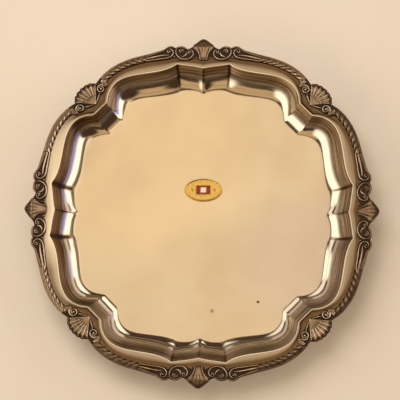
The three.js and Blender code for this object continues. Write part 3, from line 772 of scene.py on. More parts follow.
def dark_outside(points):
    """Painted shade along the outside of a side mount, and a little darker over its shell."""
    across = np.abs(points[:, 0])
    out = points[:, 1] - SIDE_REACH
    line = np.interp(across, *np.array(OUTSIDE_LINE).T)
    share = (out - SHELL_POINT) / (SHELL_REACH - SHELL_POINT)
    half_width = SHELL_HALF_WIDTH * np.interp(share, *np.array(SHELL_WIDTHS).T)
    in_shell = ramp(half_width - across, 0.4, 0.8)
    return np.maximum(0.5 * ramp(out - line, -3.4, 1.8), 0.22 * in_shell)


middle_of_shell = np.array([[0, SIDE_REACH + (SHELL_POINT + SHELL_REACH) / 2, LEDGE_Z]])
print("extra tarnish in the middle of a shell:", dark_outside(middle_of_shell).round(2))

# %% Scrolls of a side mount
def mirrored(path):
    return path * [-1, 1]


def side_scrolls():
    end = across_run(MOUNT_END, 0)[0]
    low_end = end + [-0.3, -0.36 * BORDER_WIDTH]
    c_scroll = spaced([mid(11.9, 12.9), mid(13.2, 13.6), mid(13.1, 15.4), mid(11.3, 16.1), mid(9.3, 14.6),
                       mid(9.2, 11.4), mid(11.8, 8.6), mid(16, 7.6), mid(20.6, 8.8), mid(23.7, 12),
                       mid(24.2, 15.6), mid(22.3, 18), mid(19.4, 18)], 90)
    outer_curl = spaced([mid(19.9, 13.6), mid(21.2, 14.9), mid(20.4, 16.6), mid(18.4, 16.6),
                         mid(17.4, 14.9)], 30)
    j_scroll = spaced([mid(30.2, 13.2), mid(31.7, 14.4), mid(31.3, 16.3), mid(29.2, 16.9), mid(27, 15.4),
                       mid(26.7, 12.4), mid(28.9, 9.8), mid(33.4, 8.4), mid(39.5, 7.6), low_end], 90)
    band = spaced([mid(31.6, 18.3), mid(35.2, 15.6), mid(40, 13.7), end + [-0.3, 0.24 * BORDER_WIDTH]], 40)
    crest_c = spaced([mid(13.8, 16.4), mid(16.4, 18), mid(20, 18.9), mid(23.4, 18)], 30)
    crest_j = spaced([mid(25.4, 17.8), mid(27.6, 18.9), mid(30.8, 18.5), mid(34, 16.3)], 30)
    leaf = spaced([mid(14.6, 14.6), mid(15, 12.4), mid(17, 10.6), mid(19.6, 10.4)], 24)
    stem = spaced([mid(30.2, 11.6), mid(34, 11.4), mid(39, 10.6), end + [-0.3, -0.05 * BORDER_WIDTH]], 30)
    return [
        (c_scroll, [0.9, 1.2, 1.3, 1.55, 1.7, 1.5, 1.2, 0.8], [2.5, 2.6, 2.9, 3.1, 3.1, 3, 2.8, 2.2]),
        (outer_curl, [0.8, 1.1, 1, 0.7], [2.2, 2.4, 2.3, 1.8]),
        (j_scroll, [0.9, 1.2, 1.4, 1.7, 1.7, 1.5, 1.5], [2.5, 2.7, 3, 3.1, 3, 2.8, 2.4]),
        (band, [1.6, 2.4, 3.2, 3.6], [2.1, 2.3, 2.4, 2.3]),
        (crest_c, [1.2, 2, 2, 1.2], [1.9, 2.3, 2.3, 1.9]),
        (crest_j, [1.2, 2, 2, 1.4], [1.9, 2.3, 2.3, 2]),
        (leaf, [0.8, 2.2, 1.9, 0.5], [1.9, 2.5, 2.3, 1.7]),
        (stem, [0.8, 2.4, 3, 2.6], [1.9, 2.4, 2.5, 2.3]),
    ]


print("ridges in one half of a side mount:", len(side_scrolls()))

# %% Shell of a side mount
SHELL_HEIGHTS = [(0, 1.6), (0.14, 2.3), (0.33, 2.7), (0.52, 3),
                 (0.62, 2.9), (0.72, 2.2), (0.86, 1.7), (1, 1.2)]
SHELL_FLUTES = 5
FLUTE_DEPTH, ROLL_HEIGHT = 0.32, 0.45


def side_shell():
    share = np.linspace(0, 1, 70)
    across = np.linspace(-1, 1, 73)
    s, a = np.meshgrid(share, across, indexing="ij")
    u = a * SHELL_HALF_WIDTH * follow(SHELL_WIDTHS, s)
    v = SIDE_REACH + SHELL_POINT + (SHELL_REACH - SHELL_POINT) * s
    flute = np.abs(np.sin(pi * SHELL_FLUTES * (a + 1) / 2)) ** 0.5
    depth = FLUTE_DEPTH * ramp(s, 0.25, 0.25)
    roll = ROLL_HEIGHT * np.clip((np.abs(a) - 0.75) * 5, 0, 1) * np.clip(1.6 - 2 * s, 0, 1)
    z = follow(SHELL_HEIGHTS, s) * (1 - 0.16 * a * a) - depth * (1 - flute) + roll
    return loft(casting_rings(np.stack([u, v, LEDGE_Z + z], -1)))


print("points of a side shell:", len(side_shell()[0]))

# %% Four side mounts
EYES = [(11.5, 14.2, 1.15, 3), (19.3, 15.2, 1.05, 2.6), (29.7, 14.7, 1.2, 3),
        (25.4, 9.9, 1, 2.6), (5.9, 9.2, 0.9, 2.3)]


def side_mount():
    shells = [plate(mount_outline(), MOUNT_GROUND), side_shell()]
    rim = spaced([mid(3, 7.6), mid(3.3, 10.4), mid(4.5, 13.8), mid(7, 16.8), mid(9.4, 18)], 40)
    brow = spaced([mid(9, 19), mid(6, 21.6), mid(2.6, 24.4), mid(0, 25.4)], 30)
    for side in (np.asarray, mirrored):
        shells.append(ridge(side(rim), [1, 1.1, 1.2, 0.8], [2.6, 3.1, 3.2, 2.4]))
        shells.append(ridge(side(brow), [1.2, 1.3, 1.3, 1.3], [1.9, 1.9, 1.8, 1.7]))
        shells += [ridge(side(path), width, height) for path, width, height in side_scrolls()]
        for u, out, radius, height in EYES:
            shells.append(bead(side(mid(u, out)), radius, height))
    return cast("side_mount", shells, dark_outside)


mount_mesh = side_mount()
for k, side in enumerate(SIDES):
    node = f"side_shell_{side}"
    name = f"mount_{side}"
    # Half the painted shade by side.
    turned = add_painted_shade(quarter_turns(mount_mesh, k, name), 0.5 * SIDE_SHADE[k])
    piece(name, turned, [node])
    print("made", name)

# %% [markdown]
# ## Corner mounts
#
# At each corner the two runs curl into coils, with a fan-shaped shell between
# them. The fan is a net in polar form about its point: seven narrow rays, a
# smooth triangle at the point, and a scalloped edge that rolls down. One half of
# the rest is drawn, and the other is the same with its two directions swapped.

# %% Fan
FAN_RADIUS = 20.4
FAN_MARGIN = 5
FAN_RAYS = 7


def fan():
    share = np.linspace(0.04, 1, 72)
    turn = np.linspace(0, 1, 106)
    s, t = np.meshgrid(share, turn, indexing="ij")
    angle = radians(FAN_MARGIN) + radians(90 - 2 * FAN_MARGIN) * t
    gap = np.abs((t * (FAN_RAYS - 1)) - np.round(t * (FAN_RAYS - 1)))
    ray = np.exp(-((gap / 0.17) ** 2))
    scallop = np.abs(np.cos(pi * t * (FAN_RAYS - 1))) ** 0.8
    reach = FAN_RADIUS * (0.98 + 0.035 * scallop - 0.06 * np.abs(2 * t - 1) ** 8)
    radius = reach * s
    dome = 2.3 + 0.8 * np.sin(pi * np.clip(s * 0.9, 0, 1)) - 0.5 * s
    fluted = np.clip((s - 0.2) * 2.6, 0, 1) * np.clip((1 - s) * 9, 0.25, 1)
    z = dome - 0.45 * fluted * (1 - ray)
    rim = np.clip((s - 0.84) / 0.16, 0, 1)
    z = z * (1 - 0.55 * rim**2) - 0.35 * np.exp(-((s - 0.86) / 0.03) ** 2)
    place = corner(0, 0) + np.stack([radius * np.cos(angle), radius * np.sin(angle)], -1)
    height = LEDGE_Z + np.maximum(z, 0.5)
    return loft(casting_rings(np.concatenate([place, height[..., None]], -1)))


print("points of a fan:", len(fan()[0]))

# %% Where a corner mount is dark
def dark_rim(points):
    """Painted shade on a fan's rolled rim; darker along its arms, and a little on its smooth root."""
    radius = np.linalg.norm(points[:, :2] - corner(0, 0), axis=1)
    in_fan = (points[:, :2] > corner(0, 0)).all(1)
    root = 0.3 * np.clip((9 - radius) / 3, 0, 1) * ramp(radius, 1.5, 1)
    run_side = (points[:, :2] - corner(0, 0)).min(1)
    arm = 0.35 * ramp(-run_side, 5, 1.5)
    return in_fan * (0.45 * ramp(radius, 16.6, 1.6) + root) + arm


fan_edge = np.append(corner(13, 13), LEDGE_Z)[None]
print("extra tarnish on a fan's rim:", dark_rim(fan_edge).round(2))

# %% Four corner mounts
FAN_END = RUN_END + JOINT_GAP / RUN_LENGTH
CORNER_GROUND = 1.1


def swapped(path):
    return np.asarray(path)[..., ::-1]


def corner_mount():
    shells = [fan()]
    eye = corner(-3.7, 14)
    inner_end, run_end, outer_end = (across_run(FAN_END, side * BORDER_WIDTH / 2)[0] for side in (-1, 0, 1))
    arm = spaced([run_end, corner(-7.6, 17.6), corner(-4.2, 17.8), corner(-1.4, 17)], 24)
    volute = coil(eye, 3.4, 1.7, 60, -400, 60)
    husk = spaced([corner(-2.6, 10.4), corner(-1.9, 7.8), corner(-0.9, 4.6), corner(0.2, 1.2)], 24)
    ground = np.array([inner_end, corner(-7.6, 13.2), corner(-5.6, 10.4), corner(-3.4, 7.4),
                       corner(-1.6, 2.6), corner(0.2, 0.3), corner(1.4, 8), corner(1.7, 17.6),
                       corner(0.5, 20), outer_end])
    for order in (np.asarray, swapped):
        shells.append(plate(order(ground), CORNER_GROUND))
        shells.append(ridge(order(arm), [6.4, 5, 3.2, 1.4], [2.9, 2.8, 2.8, 2.6]))
        shells.append(ridge(order(volute), [1.4, 1.6, 1.6, 1.4, 1], [2.6, 3.1, 3.2, 3, 2.6]))
        shells.append(bead(order(eye), 1.5, 3.1))
        shells.append(ridge(order(husk), [0.8, 1.5, 1.2, 0.5], [1.8, 2.4, 2.3, 1.6]))
        shells.append(bead(order(corner(-1.9, 7.7)), 1.05, 2.7))
        rim = spaced([corner(0.6, 3), corner(1.15, 11), corner(1.75, 17.4)], 30)
        shells.append(ridge(order(rim), [0.7, 1, 1], [2.4, 2.7, 2.2]))
    return cast("corner_mount", shells, dark_rim)


corner_mesh = corner_mount()
for k, name in enumerate(CORNERS):
    turned = quarter_turns(corner_mesh, k, f"fan_{name}")
    piece(f"fan_{name}", turned, [f"corner_shell_{name}"])

# %% [markdown]
# ## Feet
#
# Four small cast feet lift the salver off the table. Each leans outward from
# a round plate, through a thin ankle, to a rounded toe. A loft with a few
# leaf-like flutes at the top is enough, as little more than its sides shows.
# A station gives a height, how far the foot has come back and its radius there.

# %% Four feet
FOOT_REACH = 88
FOOT_KICK = 8
FOOT_POINTS = 72
FOOT_STATIONS = [(0, 0, 3.6), (0.03, 0, 4.25), (0.1, 0.02, 4.6), (0.2, 0.02, 4.35),
                 (0.29, 0.05, 3.5), (0.38, 0.1, 2.9), (0.55, 0.2, 2.75), (0.68, 0.38, 3.1),
                 (0.79, 0.62, 4.1), (0.88, 0.85, 5.6), (0.94, 0.96, 7.5), (0.965, 1, 8.3), (1, 1, 8.5)]


def foot_mesh():
    share = np.linspace(0, 1, 49)
    stations = np.array(FOOT_STATIONS)
    back, radius = (np.interp(share, stations[:, 0], stations[:, k]) for k in (1, 2))
    angle = np.linspace(0, 2 * pi, FOOT_POINTS, endpoint=False)
    flutes = np.clip((share - 0.45) * 2.4, 0, 1) * np.clip((1 - share) * 14, 0, 1)
    spine = np.clip(np.cos(angle), 0, 1) ** 10
    rings = []
    for s, b, r, flute in zip(share, back, radius, flutes):
        wave = 1 - 0.13 * flute * (0.5 - 0.5 * np.cos(7 * angle))
        rib = 0.5 * spine * np.clip(sin(pi * min(s * 1.15, 1)), 0, 1) * (0.2 < s < 0.85)
        size = r * wave + rib
        x = FOOT_REACH + FOOT_KICK * (1 - b) + size * np.cos(angle)
        rings.append(np.stack([x, size * np.sin(angle), np.full(FOOT_POINTS, FOOT_HEIGHT * s)], 1))
    rings = soften(np.array(rings), 0, 1)
    mesh = skin("foot", [loft(rings)], sharp=45)
    groove = flutes[:, None] * (0.5 - 0.5 * np.cos(7 * angle))[None]
    mark(mesh, "oxide", np.clip(0.7 * groove + 0.25, 0, 1))
    return mesh


foot_pattern = foot_mesh()
for k, name in enumerate(CORNERS):
    turned = quarter_turns(foot_pattern, k - 0.5, f"cast_foot_{name}")
    piece(f"cast_foot_{name}", turned, [f"foot_{name}"])
print("foot faces:", len(foot_pattern.polygons))

# %% [markdown]
# ## The gilt badge
#
# The badge is a little oval plate, stamped with a raised rim and two gilt walls
# that hold enamel. It sits on the flat and two rivets pass through it. The
# plate's field is slightly domed, like any stamping.

# %% Badge plate, walls and rivets
badge_low, badge_high = box_mm("badge_plate")
BADGE_X, BADGE_Y = (badge_low[:2] + badge_high[:2]) / 2
HALF_LENGTH, HALF_WIDTH = (badge_high[:2] - badge_low[:2]) / 2
BADGE_Z = badge_high[2] - 0.5
OVAL_POINTS = 128
BADGE_RIM = [(0, 0), (0, 0.55), (0.1, 0.95), (0.32, 1.24), (0.6, 1.36),
             (0.88, 1.24), (1.15, 0.95), (1.4, 0.86)]


def oval(inset, z):
    angle = np.linspace(0, 2 * pi, OVAL_POINTS, endpoint=False)
    x = BADGE_X + (HALF_LENGTH - inset) * np.cos(angle)
    y = BADGE_Y + (HALF_WIDTH - inset) * np.sin(angle)
    return level(np.stack([x, y], 1), z)


def badge_plate():
    rings = [oval(inset, FLAT_Z + lift) for inset, lift in BADGE_RIM]
    for inset in (2.2, 3.2, 4.4, 6, 8, 9.6):
        rings.append(oval(inset, BADGE_Z - 0.04 + 0.1 * (inset / 9.6) ** 0.8))
    return loft(rings)


print("badge:", 2 * HALF_LENGTH, "by", 2 * HALF_WIDTH, "mm")

# %% Walls for the enamel
PANEL = (13.4, 8.8)
CELL = (5.4, 5.2)
CLOISON = 0.45


def rounded_box(size, low, high, bevel=0.12, radius=0.35):
    angle = np.linspace(0, 2 * pi, 32, endpoint=False)

    def ring(inset, z):
        sx, sy = np.sign(np.cos(angle)), np.sign(np.sin(angle))
        reach_x, reach_y = size[0] / 2 - inset - radius, size[1] / 2 - inset - radius
        px = BADGE_X + sx * reach_x + radius * np.cos(angle)
        py = BADGE_Y + sy * reach_y + radius * np.sin(angle)
        return level(np.stack([px, py], 1), z)

    return [ring(0, low), ring(0, high - bevel), ring(bevel * 0.4, high - bevel * 0.3), ring(bevel, high)]


def inside_of(size):
    return size[0] - 2 * CLOISON, size[1] - 2 * CLOISON


def wall_frame(size, low, high):
    outside = rounded_box(size, low, high)
    inside = rounded_box(inside_of(size), low, high, radius=0.2)
    rings = np.array(outside + inside[::-1])
    rings[len(outside):-1, :, 2] = np.minimum(rings[len(outside):-1, :, 2], high)
    around = rings.shape[1]
    corners = np.arange(len(rings) * around).reshape(len(rings), around)
    near, far = corners, np.roll(corners, -1, 0)
    quads = np.stack([near, np.roll(near, -1, 1), np.roll(far, -1, 1), far], -1)
    return rings.reshape(-1, 3), quads.reshape(-1, 4).tolist()


wall_foot, wall_top = BADGE_Z - 0.3, badge_high[2] - 0.05
badge_shells = [badge_plate()] + [wall_frame(size, wall_foot, wall_top) for size in (PANEL, CELL)]
piece("badge_oval", skin("badge_oval", badge_shells, sharp=50), ["badge_plate"])
print("gilt walls rise to", round(float(wall_top), 2), "mm")

# %% [markdown]
# ### Enamel and rivets
#
# Enamel is ground glass melted into a walled cell. The red fills the panel and
# is flat. The white fills the cell in its middle and sags a little, as glass
# does when it cools. Each rivet is one turned profile: a tail under the sheet,
# a shank through it and a low dome on the badge.

# %% Enamel
ENAMEL_FOOT = BADGE_Z - 0.02
ENAMEL_SAG = 0.03


def sagging_fill(size, high):
    rings = rounded_box(size, ENAMEL_FOOT, high, bevel=0.14, radius=0.3)
    centre = np.array([BADGE_X, BADGE_Y, 0])
    top = rings[-1]
    for share in (0.85, 0.6, 0.3):
        ring = centre + (top - centre) * [share, share, 1]
        ring[:, 2] = high - ENAMEL_SAG * (1 - share**2)
        rings.append(ring)
    return rings


red = rounded_box(inside_of(PANEL), ENAMEL_FOOT, BADGE_Z + 0.3, radius=0.2)
white = sagging_fill(inside_of(CELL), BADGE_Z + 0.36)
piece("enamel_red", skin("enamel_red", [loft(red)], sharp=50), ["badge_enamel_red"])
piece("enamel_white", skin("enamel_white", [loft(white)], sharp=50), ["badge_enamel_white"])
print("enamel rings:", len(red), "red,", len(white), "white")

# %% Rivets
TAIL_RISE, DOME_RISE = 0.7, 0.68


def rivet(node):
    low, high = box_mm(node)
    x, y = (low[:2] + high[:2]) / 2
    head = (high[0] - low[0]) / 2
    angle = np.linspace(0, 2 * pi, 40, endpoint=False)
    tail = [(head * sin(a), FOOT_HEIGHT - TAIL_RISE * cos(a)) for a in np.linspace(0.15, pi / 2, 7)]
    shank = [(head * 0.5, FOOT_HEIGHT), (head * 0.5, ENAMEL_FOOT)]
    dome = [(head * cos(a), BADGE_Z + DOME_RISE * sin(a)) for a in np.linspace(0, pi / 2 - 0.08, 9)]
    rings = []
    for radius, z in [(0.05, low[2])] + tail + shank + dome:
        rings.append(level(np.stack([x + radius * np.cos(angle), y + radius * np.sin(angle)], 1), z))
    return loft(rings)


for side in ("west", "east"):
    mesh = skin(f"rivet_{side}", [rivet(f"badge_pin_{side}")], sharp=60)
    piece(f"rivet_{side}", mesh, [f"badge_pin_{side}"])
    print(f"rivet_{side} faces:", len(mesh.polygons))

# %% [markdown]
# ## Finishes
#
# A finish is a small network of nodes. Noise in the object's own coordinates
# gives a mottled colour, and noise stretched many times longer than it is wide
# gives fine scratches. A few short helpers keep the networks readable.

# %% Helpers for finishes
class Finish:
    def __init__(self, name):
        self.material = bpy.data.materials.new(name)
        self.material.use_nodes = True
        self.nodes = self.material.node_tree.nodes
        self.links = self.material.node_tree.links
        self.shader = self.nodes["Principled BSDF"]
        self.place = self.nodes.new("ShaderNodeTexCoord").outputs["Object"]

    def put(self, socket, value):
        if isinstance(value, bpy.types.NodeSocket):
            self.links.new(value, socket)
        else:
            socket.default_value = value

    def shade(self, **values):
        for name, value in values.items():
            self.put(self.shader.inputs[name.replace("_", " ").title()], value)

    def noise(self, scale, detail=3, rough=0.55, stretch=(1, 1, 1), turn=0.0):
        mapping = self.nodes.new("ShaderNodeMapping")
        self.links.new(self.place, mapping.inputs["Vector"])
        mapping.inputs["Scale"].default_value = stretch
        mapping.inputs["Rotation"].default_value = (0, 0, turn)
        noise = self.nodes.new("ShaderNodeTexNoise")
        self.links.new(mapping.outputs["Vector"], noise.inputs["Vector"])
        noise.inputs["Scale"].default_value = scale
        noise.inputs["Detail"].default_value = detail
        noise.inputs["Roughness"].default_value = rough
        return noise.outputs["Fac"]

    def attribute(self, name):
        node = self.nodes.new("ShaderNodeAttribute")
        node.attribute_name = name
        return node.outputs["Fac"]

    def math(self, kind, a, b):
        node = self.nodes.new("ShaderNodeMath")
        node.operation = kind
        self.put(node.inputs[0], a)
        self.put(node.inputs[1], b)
        return node.outputs[0]

    def spread(self, value, low, high, out_low=0.0, out_high=1.0):
        node = self.nodes.new("ShaderNodeMapRange")
        node.interpolation_type = "SMOOTHSTEP"
        self.put(node.inputs["Value"], value)
        limits = {"From Min": low, "From Max": high, "To Min": out_low, "To Max": out_high}
        for name, number in limits.items():
            node.inputs[name].default_value = number
        return node.outputs["Result"]

    def mix(self, share, a, b):
        node = self.nodes.new("ShaderNodeMix")
        node.data_type = "RGBA"
        self.put(node.inputs["Factor"], share)
        self.put(node.inputs["A"], a if isinstance(a, bpy.types.NodeSocket) else (*a, 1))
        self.put(node.inputs["B"], b if isinstance(b, bpy.types.NodeSocket) else (*b, 1))
        return node.outputs["Result"]

    def bump(self, height, distance, strength, under=None):
        node = self.nodes.new("ShaderNodeBump")
        self.put(node.inputs["Height"], height)
        node.inputs["Distance"].default_value = distance
        node.inputs["Strength"].default_value = strength
        if under is not None:
            self.links.new(under, node.inputs["Normal"])
        return node.outputs["Normal"]

    def near(self, point, radius):
        node = self.nodes.new("ShaderNodeVectorMath")
        node.operation = "DISTANCE"
        self.links.new(self.place, node.inputs[0])
        node.inputs[1].default_value = point
        return self.spread(node.outputs["Value"], radius * 0.45, radius, 1, 0)


def give(finish, *prefixes):
    given = 0
    for thing in bpy.data.objects:
        if thing.type == "MESH" and thing.name.startswith(prefixes) and "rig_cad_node" not in thing:
            thing.data.materials.clear()
            thing.data.materials.append(finish.material)
            given += 1
    print(finish.material.name, "given to", given, "pieces")


# %% [markdown]
# ### Polished silver
#
# The wall is bright and nearly mirror-like. The flat has been wiped for years,
# so it is covered in fine scratches in every direction and looks hazy. Silver
# yellows where it isn't rubbed, and a point attribute says where that is and
# also where shade is painted: brown comes first, and a near black crust only in
# the deepest creases, where it is partly painted shade.

# %% Colour of the sheet
BROWN, NEAR_BLACK = (0.13, 0.075, 0.038), (0.05, 0.03, 0.02)
polished = Finish("polished_silver")
on_wall_share = polished.attribute("wall")
oxide = polished.attribute("oxide")
patches = polished.noise(14, 4, 0.6)
mottle = polished.mix(polished.spread(patches, 0.3, 0.7), (0.80, 0.695, 0.55), (0.82, 0.675, 0.515))
# Painted light on the flat: a warm glow on the upper left and a pinkish highlight haze on the right.
upper_left = polished.near((-0.06, 0.07, FLAT_Z * MM), 0.15)
right_part = polished.near((0.09, -0.04, FLAT_Z * MM), 0.08)
with_painted_glow = polished.mix(upper_left, mottle, (0.89, 0.74, 0.54))
with_painted_haze = polished.mix(right_part, with_painted_glow, (0.79, 0.68, 0.58))
bright = polished.mix(on_wall_share, with_painted_haze, (0.84, 0.75, 0.63))
browned_and_shaded = polished.mix(polished.math("MULTIPLY", oxide, 0.93), bright, BROWN)
crust_and_shade = polished.mix(polished.spread(oxide, 1.1, 1.9), browned_and_shaded, NEAR_BLACK)
print("nodes for the sheet's colour:", len(polished.nodes))

# %% Spots and scratches
dark_spot = polished.near((0.0495, -0.0764, FLAT_Z * MM), 0.0016)
faint_spot = polished.near((0.010, -0.0846, FLAT_Z * MM), 0.0022)
spots = polished.math("MAXIMUM", dark_spot, polished.math("MULTIPLY", faint_spot, 0.5))
spotted = polished.mix(spots, crust_and_shade, (0.10, 0.055, 0.03))
scratches = None
for turn, stretch in ((0.35, 60), (1.3, 90), (2.2, 45), (2.9, 75)):
    lines = polished.spread(polished.noise(60, 2, 0.5, (1, stretch, 1), turn), 0.56, 0.7)
    scratches = lines if scratches is None else polished.math("MAXIMUM", scratches, lines)
print("nodes with spots and scratches:", len(polished.nodes))

# %% Haze and shine
scratched = polished.math("ADD", patches, polished.math("MULTIPLY", scratches, 0.1))
hazy = polished.spread(scratched, 0.3, 0.9, 0.36, 0.46)
satin = polished.math("MULTIPLY", polished.spread(oxide, 0.0, 0.2), 0.12)
clear = polished.math("ADD", satin, polished.spread(polished.noise(160, 3), 0.3, 0.7, 0.05, 0.09))
roughness = polished.nodes.new("ShaderNodeMix")
polished.put(roughness.inputs["Factor"], on_wall_share)
polished.put(roughness.inputs["A"], hazy)
polished.put(roughness.inputs["B"], clear)
hammered = polished.bump(polished.noise(45, 2), 0.0006, 0.25)
scored = polished.bump(scratches, 0.00002, 0.08, hammered)
polished.shade(base_color=spotted, roughness=roughness.outputs["Result"], metallic=1.0, normal=scored)
give(polished, "salver_dish")

# %% [markdown]
# ### Cast silver
#
# A point attribute, written when the castings were made, says how deep a point
# lies, and it also carries painted shade along outer edges, on fan rims and by
# side, and small painted glints on the gadroons. High places are rubbed bright
# and hollows keep a brown-black oxide, which is rougher and duller than the
# metal; the painted shade takes the same colour and roughness.

# %% Cast silver
cast_finish = Finish("cast_silver")
grain = cast_finish.noise(900, 4, 0.6)
cloud = cast_finish.noise(120, 3)
uneven = cast_finish.math("MULTIPLY", cast_finish.math("SUBTRACT", cloud, 0.5), 0.5)
mottled = cast_finish.math("ADD", cast_finish.attribute("oxide"), uneven)
worn_and_glint = cast_finish.mix(cast_finish.spread(mottled, -0.4, 0.0), (0.84, 0.74, 0.61), (0.36, 0.255, 0.175))
dark = cast_finish.mix(cast_finish.spread(mottled, 0.1, 0.8), worn_and_glint, (0.07, 0.042, 0.029))
grainy = cast_finish.math("ADD", mottled, cast_finish.math("MULTIPLY", grain, 0.15))
cast_rough = cast_finish.spread(grainy, 0, 0.8, 0.17, 0.5)
sandy = cast_finish.bump(grain, 0.00006, 0.35, cast_finish.bump(cloud, 0.0002, 0.3))
cast_finish.shade(base_color=dark, roughness=cast_rough, metallic=1.0, normal=sandy)
give(cast_finish, "run_", "mount_", "fan_", "cast_foot_")

# %% [markdown]
# ### Gilding and enamel
#
# Gilding is a thin warm gold that wears to a duller one in patches. Enamel is
# glass, so it has a slightly uneven colour and a glossy surface with tiny pits.
# The two enamels differ only in colour and gloss, so one function makes both.

# %% Gilt and enamels
gilt = Finish("gilt")
rubbed = gilt.noise(420, 4)
tone = gilt.mix(gilt.spread(rubbed, 0.3, 0.75), (0.82, 0.55, 0.16), (0.66, 0.45, 0.13))
gilt.shade(base_color=tone, roughness=gilt.spread(gilt.noise(700, 3), 0.3, 0.7, 0.24, 0.4), metallic=1.0,
           normal=gilt.bump(gilt.noise(1500, 3), 0.00005, 0.3))
give(gilt, "badge_oval", "rivet_")


def enamel(name, grain, patchy, colours, roughest, coat):
    glass = Finish(name)
    tone = glass.spread(glass.noise(grain, 3), *patchy)
    pits = glass.bump(glass.noise(900, 2), 0.00004, 0.3)
    rough = glass.spread(glass.noise(1200, 2), 0.3, 0.7, 0.12, roughest)
    glass.shade(base_color=glass.mix(tone, *colours), roughness=rough, coat_weight=coat, normal=pits)
    return glass


RED = (0.28, 0.002, 0.004), (0.15, 0.001, 0.002)
WHITE = (0.86, 0.80, 0.70), (0.80, 0.72, 0.60)
give(enamel("red_enamel", 500, (0.3, 0.75), RED, 0.24, 0.2), "enamel_red")
give(enamel("white_enamel", 600, (0.35, 0.7), WHITE, 0.26, 0.5), "enamel_white")

# %% [markdown]
# ## Floor
#
# The salver stands on a plain pale sheet, wide enough to fill every view. A
# faint mottle keeps it from looking like a computer's flat grey.

# %% Pale floor
FLOOR_HALF = 6.0
floor_mesh = bpy.data.meshes.new("floor")
floor_corners = [(x * FLOOR_HALF, y * FLOOR_HALF, 0) for x, y in ((-1, -1), (1, -1), (1, 1), (-1, 1))]
floor_mesh.from_pydata(floor_corners, [], [(0, 1, 2, 3)])
floor = bpy.data.objects.new("floor", floor_mesh)
bpy.context.scene.collection.objects.link(floor)
pale = Finish("pale_floor")
paper = pale.mix(pale.spread(pale.noise(9, 5), 0.3, 0.7), (0.80, 0.735, 0.645), (0.78, 0.71, 0.615))
pale.shade(base_color=paper, roughness=0.9, normal=pale.bump(pale.noise(60, 5), 0.002, 0.15))
floor_mesh.materials.append(pale.material)
print("floor:", 2 * FLOOR_HALF, "m wide")

# %% [markdown]
# ## Light
#
# Polished metal shows only what is round it, so the surroundings matter as much
# as the lamp. A room could be modelled, but soft patches of colour painted on
# the sky are quicker and have no hard edges. The sky is dark brown to begin
# with, and each patch lies over the ones before it. A wall that leans by an
# angle mirrors the sky at twice that angle from straight up, so the height of a
# patch decides how high on the wall its reflection shows.

# %% Dark brown sky
world = bpy.data.worlds.new("studio")
bpy.context.scene.world = world
world.use_nodes = True
sky = world.node_tree
sky_split = sky.nodes.new("ShaderNodeSeparateXYZ")
sky_place = sky.nodes.new("ShaderNodeTexCoord").outputs["Generated"]
sky.links.new(sky_place, sky_split.inputs[0])
sky_ramp = sky.nodes.new("ShaderNodeValToRGB")
sky.links.new(sky_split.outputs["Z"], sky_ramp.inputs["Fac"])
SKY = [(0.0, (0.09, 0.055, 0.03)), (0.3, (0.05, 0.03, 0.018)),
       (0.6, (0.08, 0.048, 0.028)), (1.0, (0.13, 0.08, 0.048))]
while len(sky_ramp.color_ramp.elements) < len(SKY):
    sky_ramp.color_ramp.elements.new(0.5)
for stop, (position, colour) in zip(sky_ramp.color_ramp.elements, SKY):
    stop.position = position
    stop.color = (*colour, 1)
print("colours from below to above:", len(SKY))

# %% Steps and patches
def sky_step(source, low, high):
    step = sky.nodes.new("ShaderNodeMapRange")
    step.interpolation_type = "SMOOTHSTEP"
    sky.links.new(source, step.inputs["Value"])
    step.inputs["From Min"].default_value = low
    step.inputs["From Max"].default_value = high
    return step.outputs["Result"]


def sky_towards(direction):
    dot = sky.nodes.new("ShaderNodeVectorMath")
    dot.operation = "DOT_PRODUCT"
    sky.links.new(sky_place, dot.inputs[0])
    dot.inputs[1].default_value = Vector(direction).normalized()
    return dot.outputs["Value"]


def sky_patch(under, colour, *steps):
    """Lays a soft patch of colour over what is under it, where every step is up."""
    share = steps[0]
    for step in steps[1:]:
        times = sky.nodes.new("ShaderNodeMath")
        times.operation = "MULTIPLY"
        sky.links.new(share, times.inputs[0])
        sky.links.new(step, times.inputs[1])
        share = times.outputs[0]
    mix = sky.nodes.new("ShaderNodeMix")
    mix.data_type = "RGBA"
    mix.clamp_result = False
    sky.links.new(share, mix.inputs["Factor"])
    sky.links.new(under, mix.inputs["A"])
    mix.inputs["B"].default_value = (*colour, 1)
    return mix.outputs["Result"]


def room_bands():
    """Faint level bands, as the shelves and frames of a room give in polished metal."""
    flatten = sky.nodes.new("ShaderNodeMapping")
    sky.links.new(sky_place, flatten.inputs["Vector"])
    flatten.inputs["Scale"].default_value = (1.6, 1.6, 15)
    bands = sky.nodes.new("ShaderNodeTexNoise")
    sky.links.new(flatten.outputs["Vector"], bands.inputs["Vector"])
    bands.inputs["Scale"].default_value = 1
    bands.inputs["Detail"].default_value = 3
    return sky_step(bands.outputs["Fac"], 0.55, 0.66)


X, Y, Z = (sky_split.outputs[axis] for axis in "XYZ")
print("nodes in the sky:", len(sky.nodes))

# %% [markdown]
# ### What the walls mirror
#
# Straight above is the warm cream that the flat mirrors. A warm window stands
# on the left and a cool one on the right, which is cream above and violet lower
# down, and they make the long highlights of the side walls. Two dark corners,
# two level bars and four panes break those highlights up, as things in a room
# do. Each is a patch, with a colour and the steps that bound it.

# %% Windows, corners and bars
def spot(direction, outer, inner):
    return sky_step(sky_towards(direction), cos(radians(outer)), cos(radians(inner)))


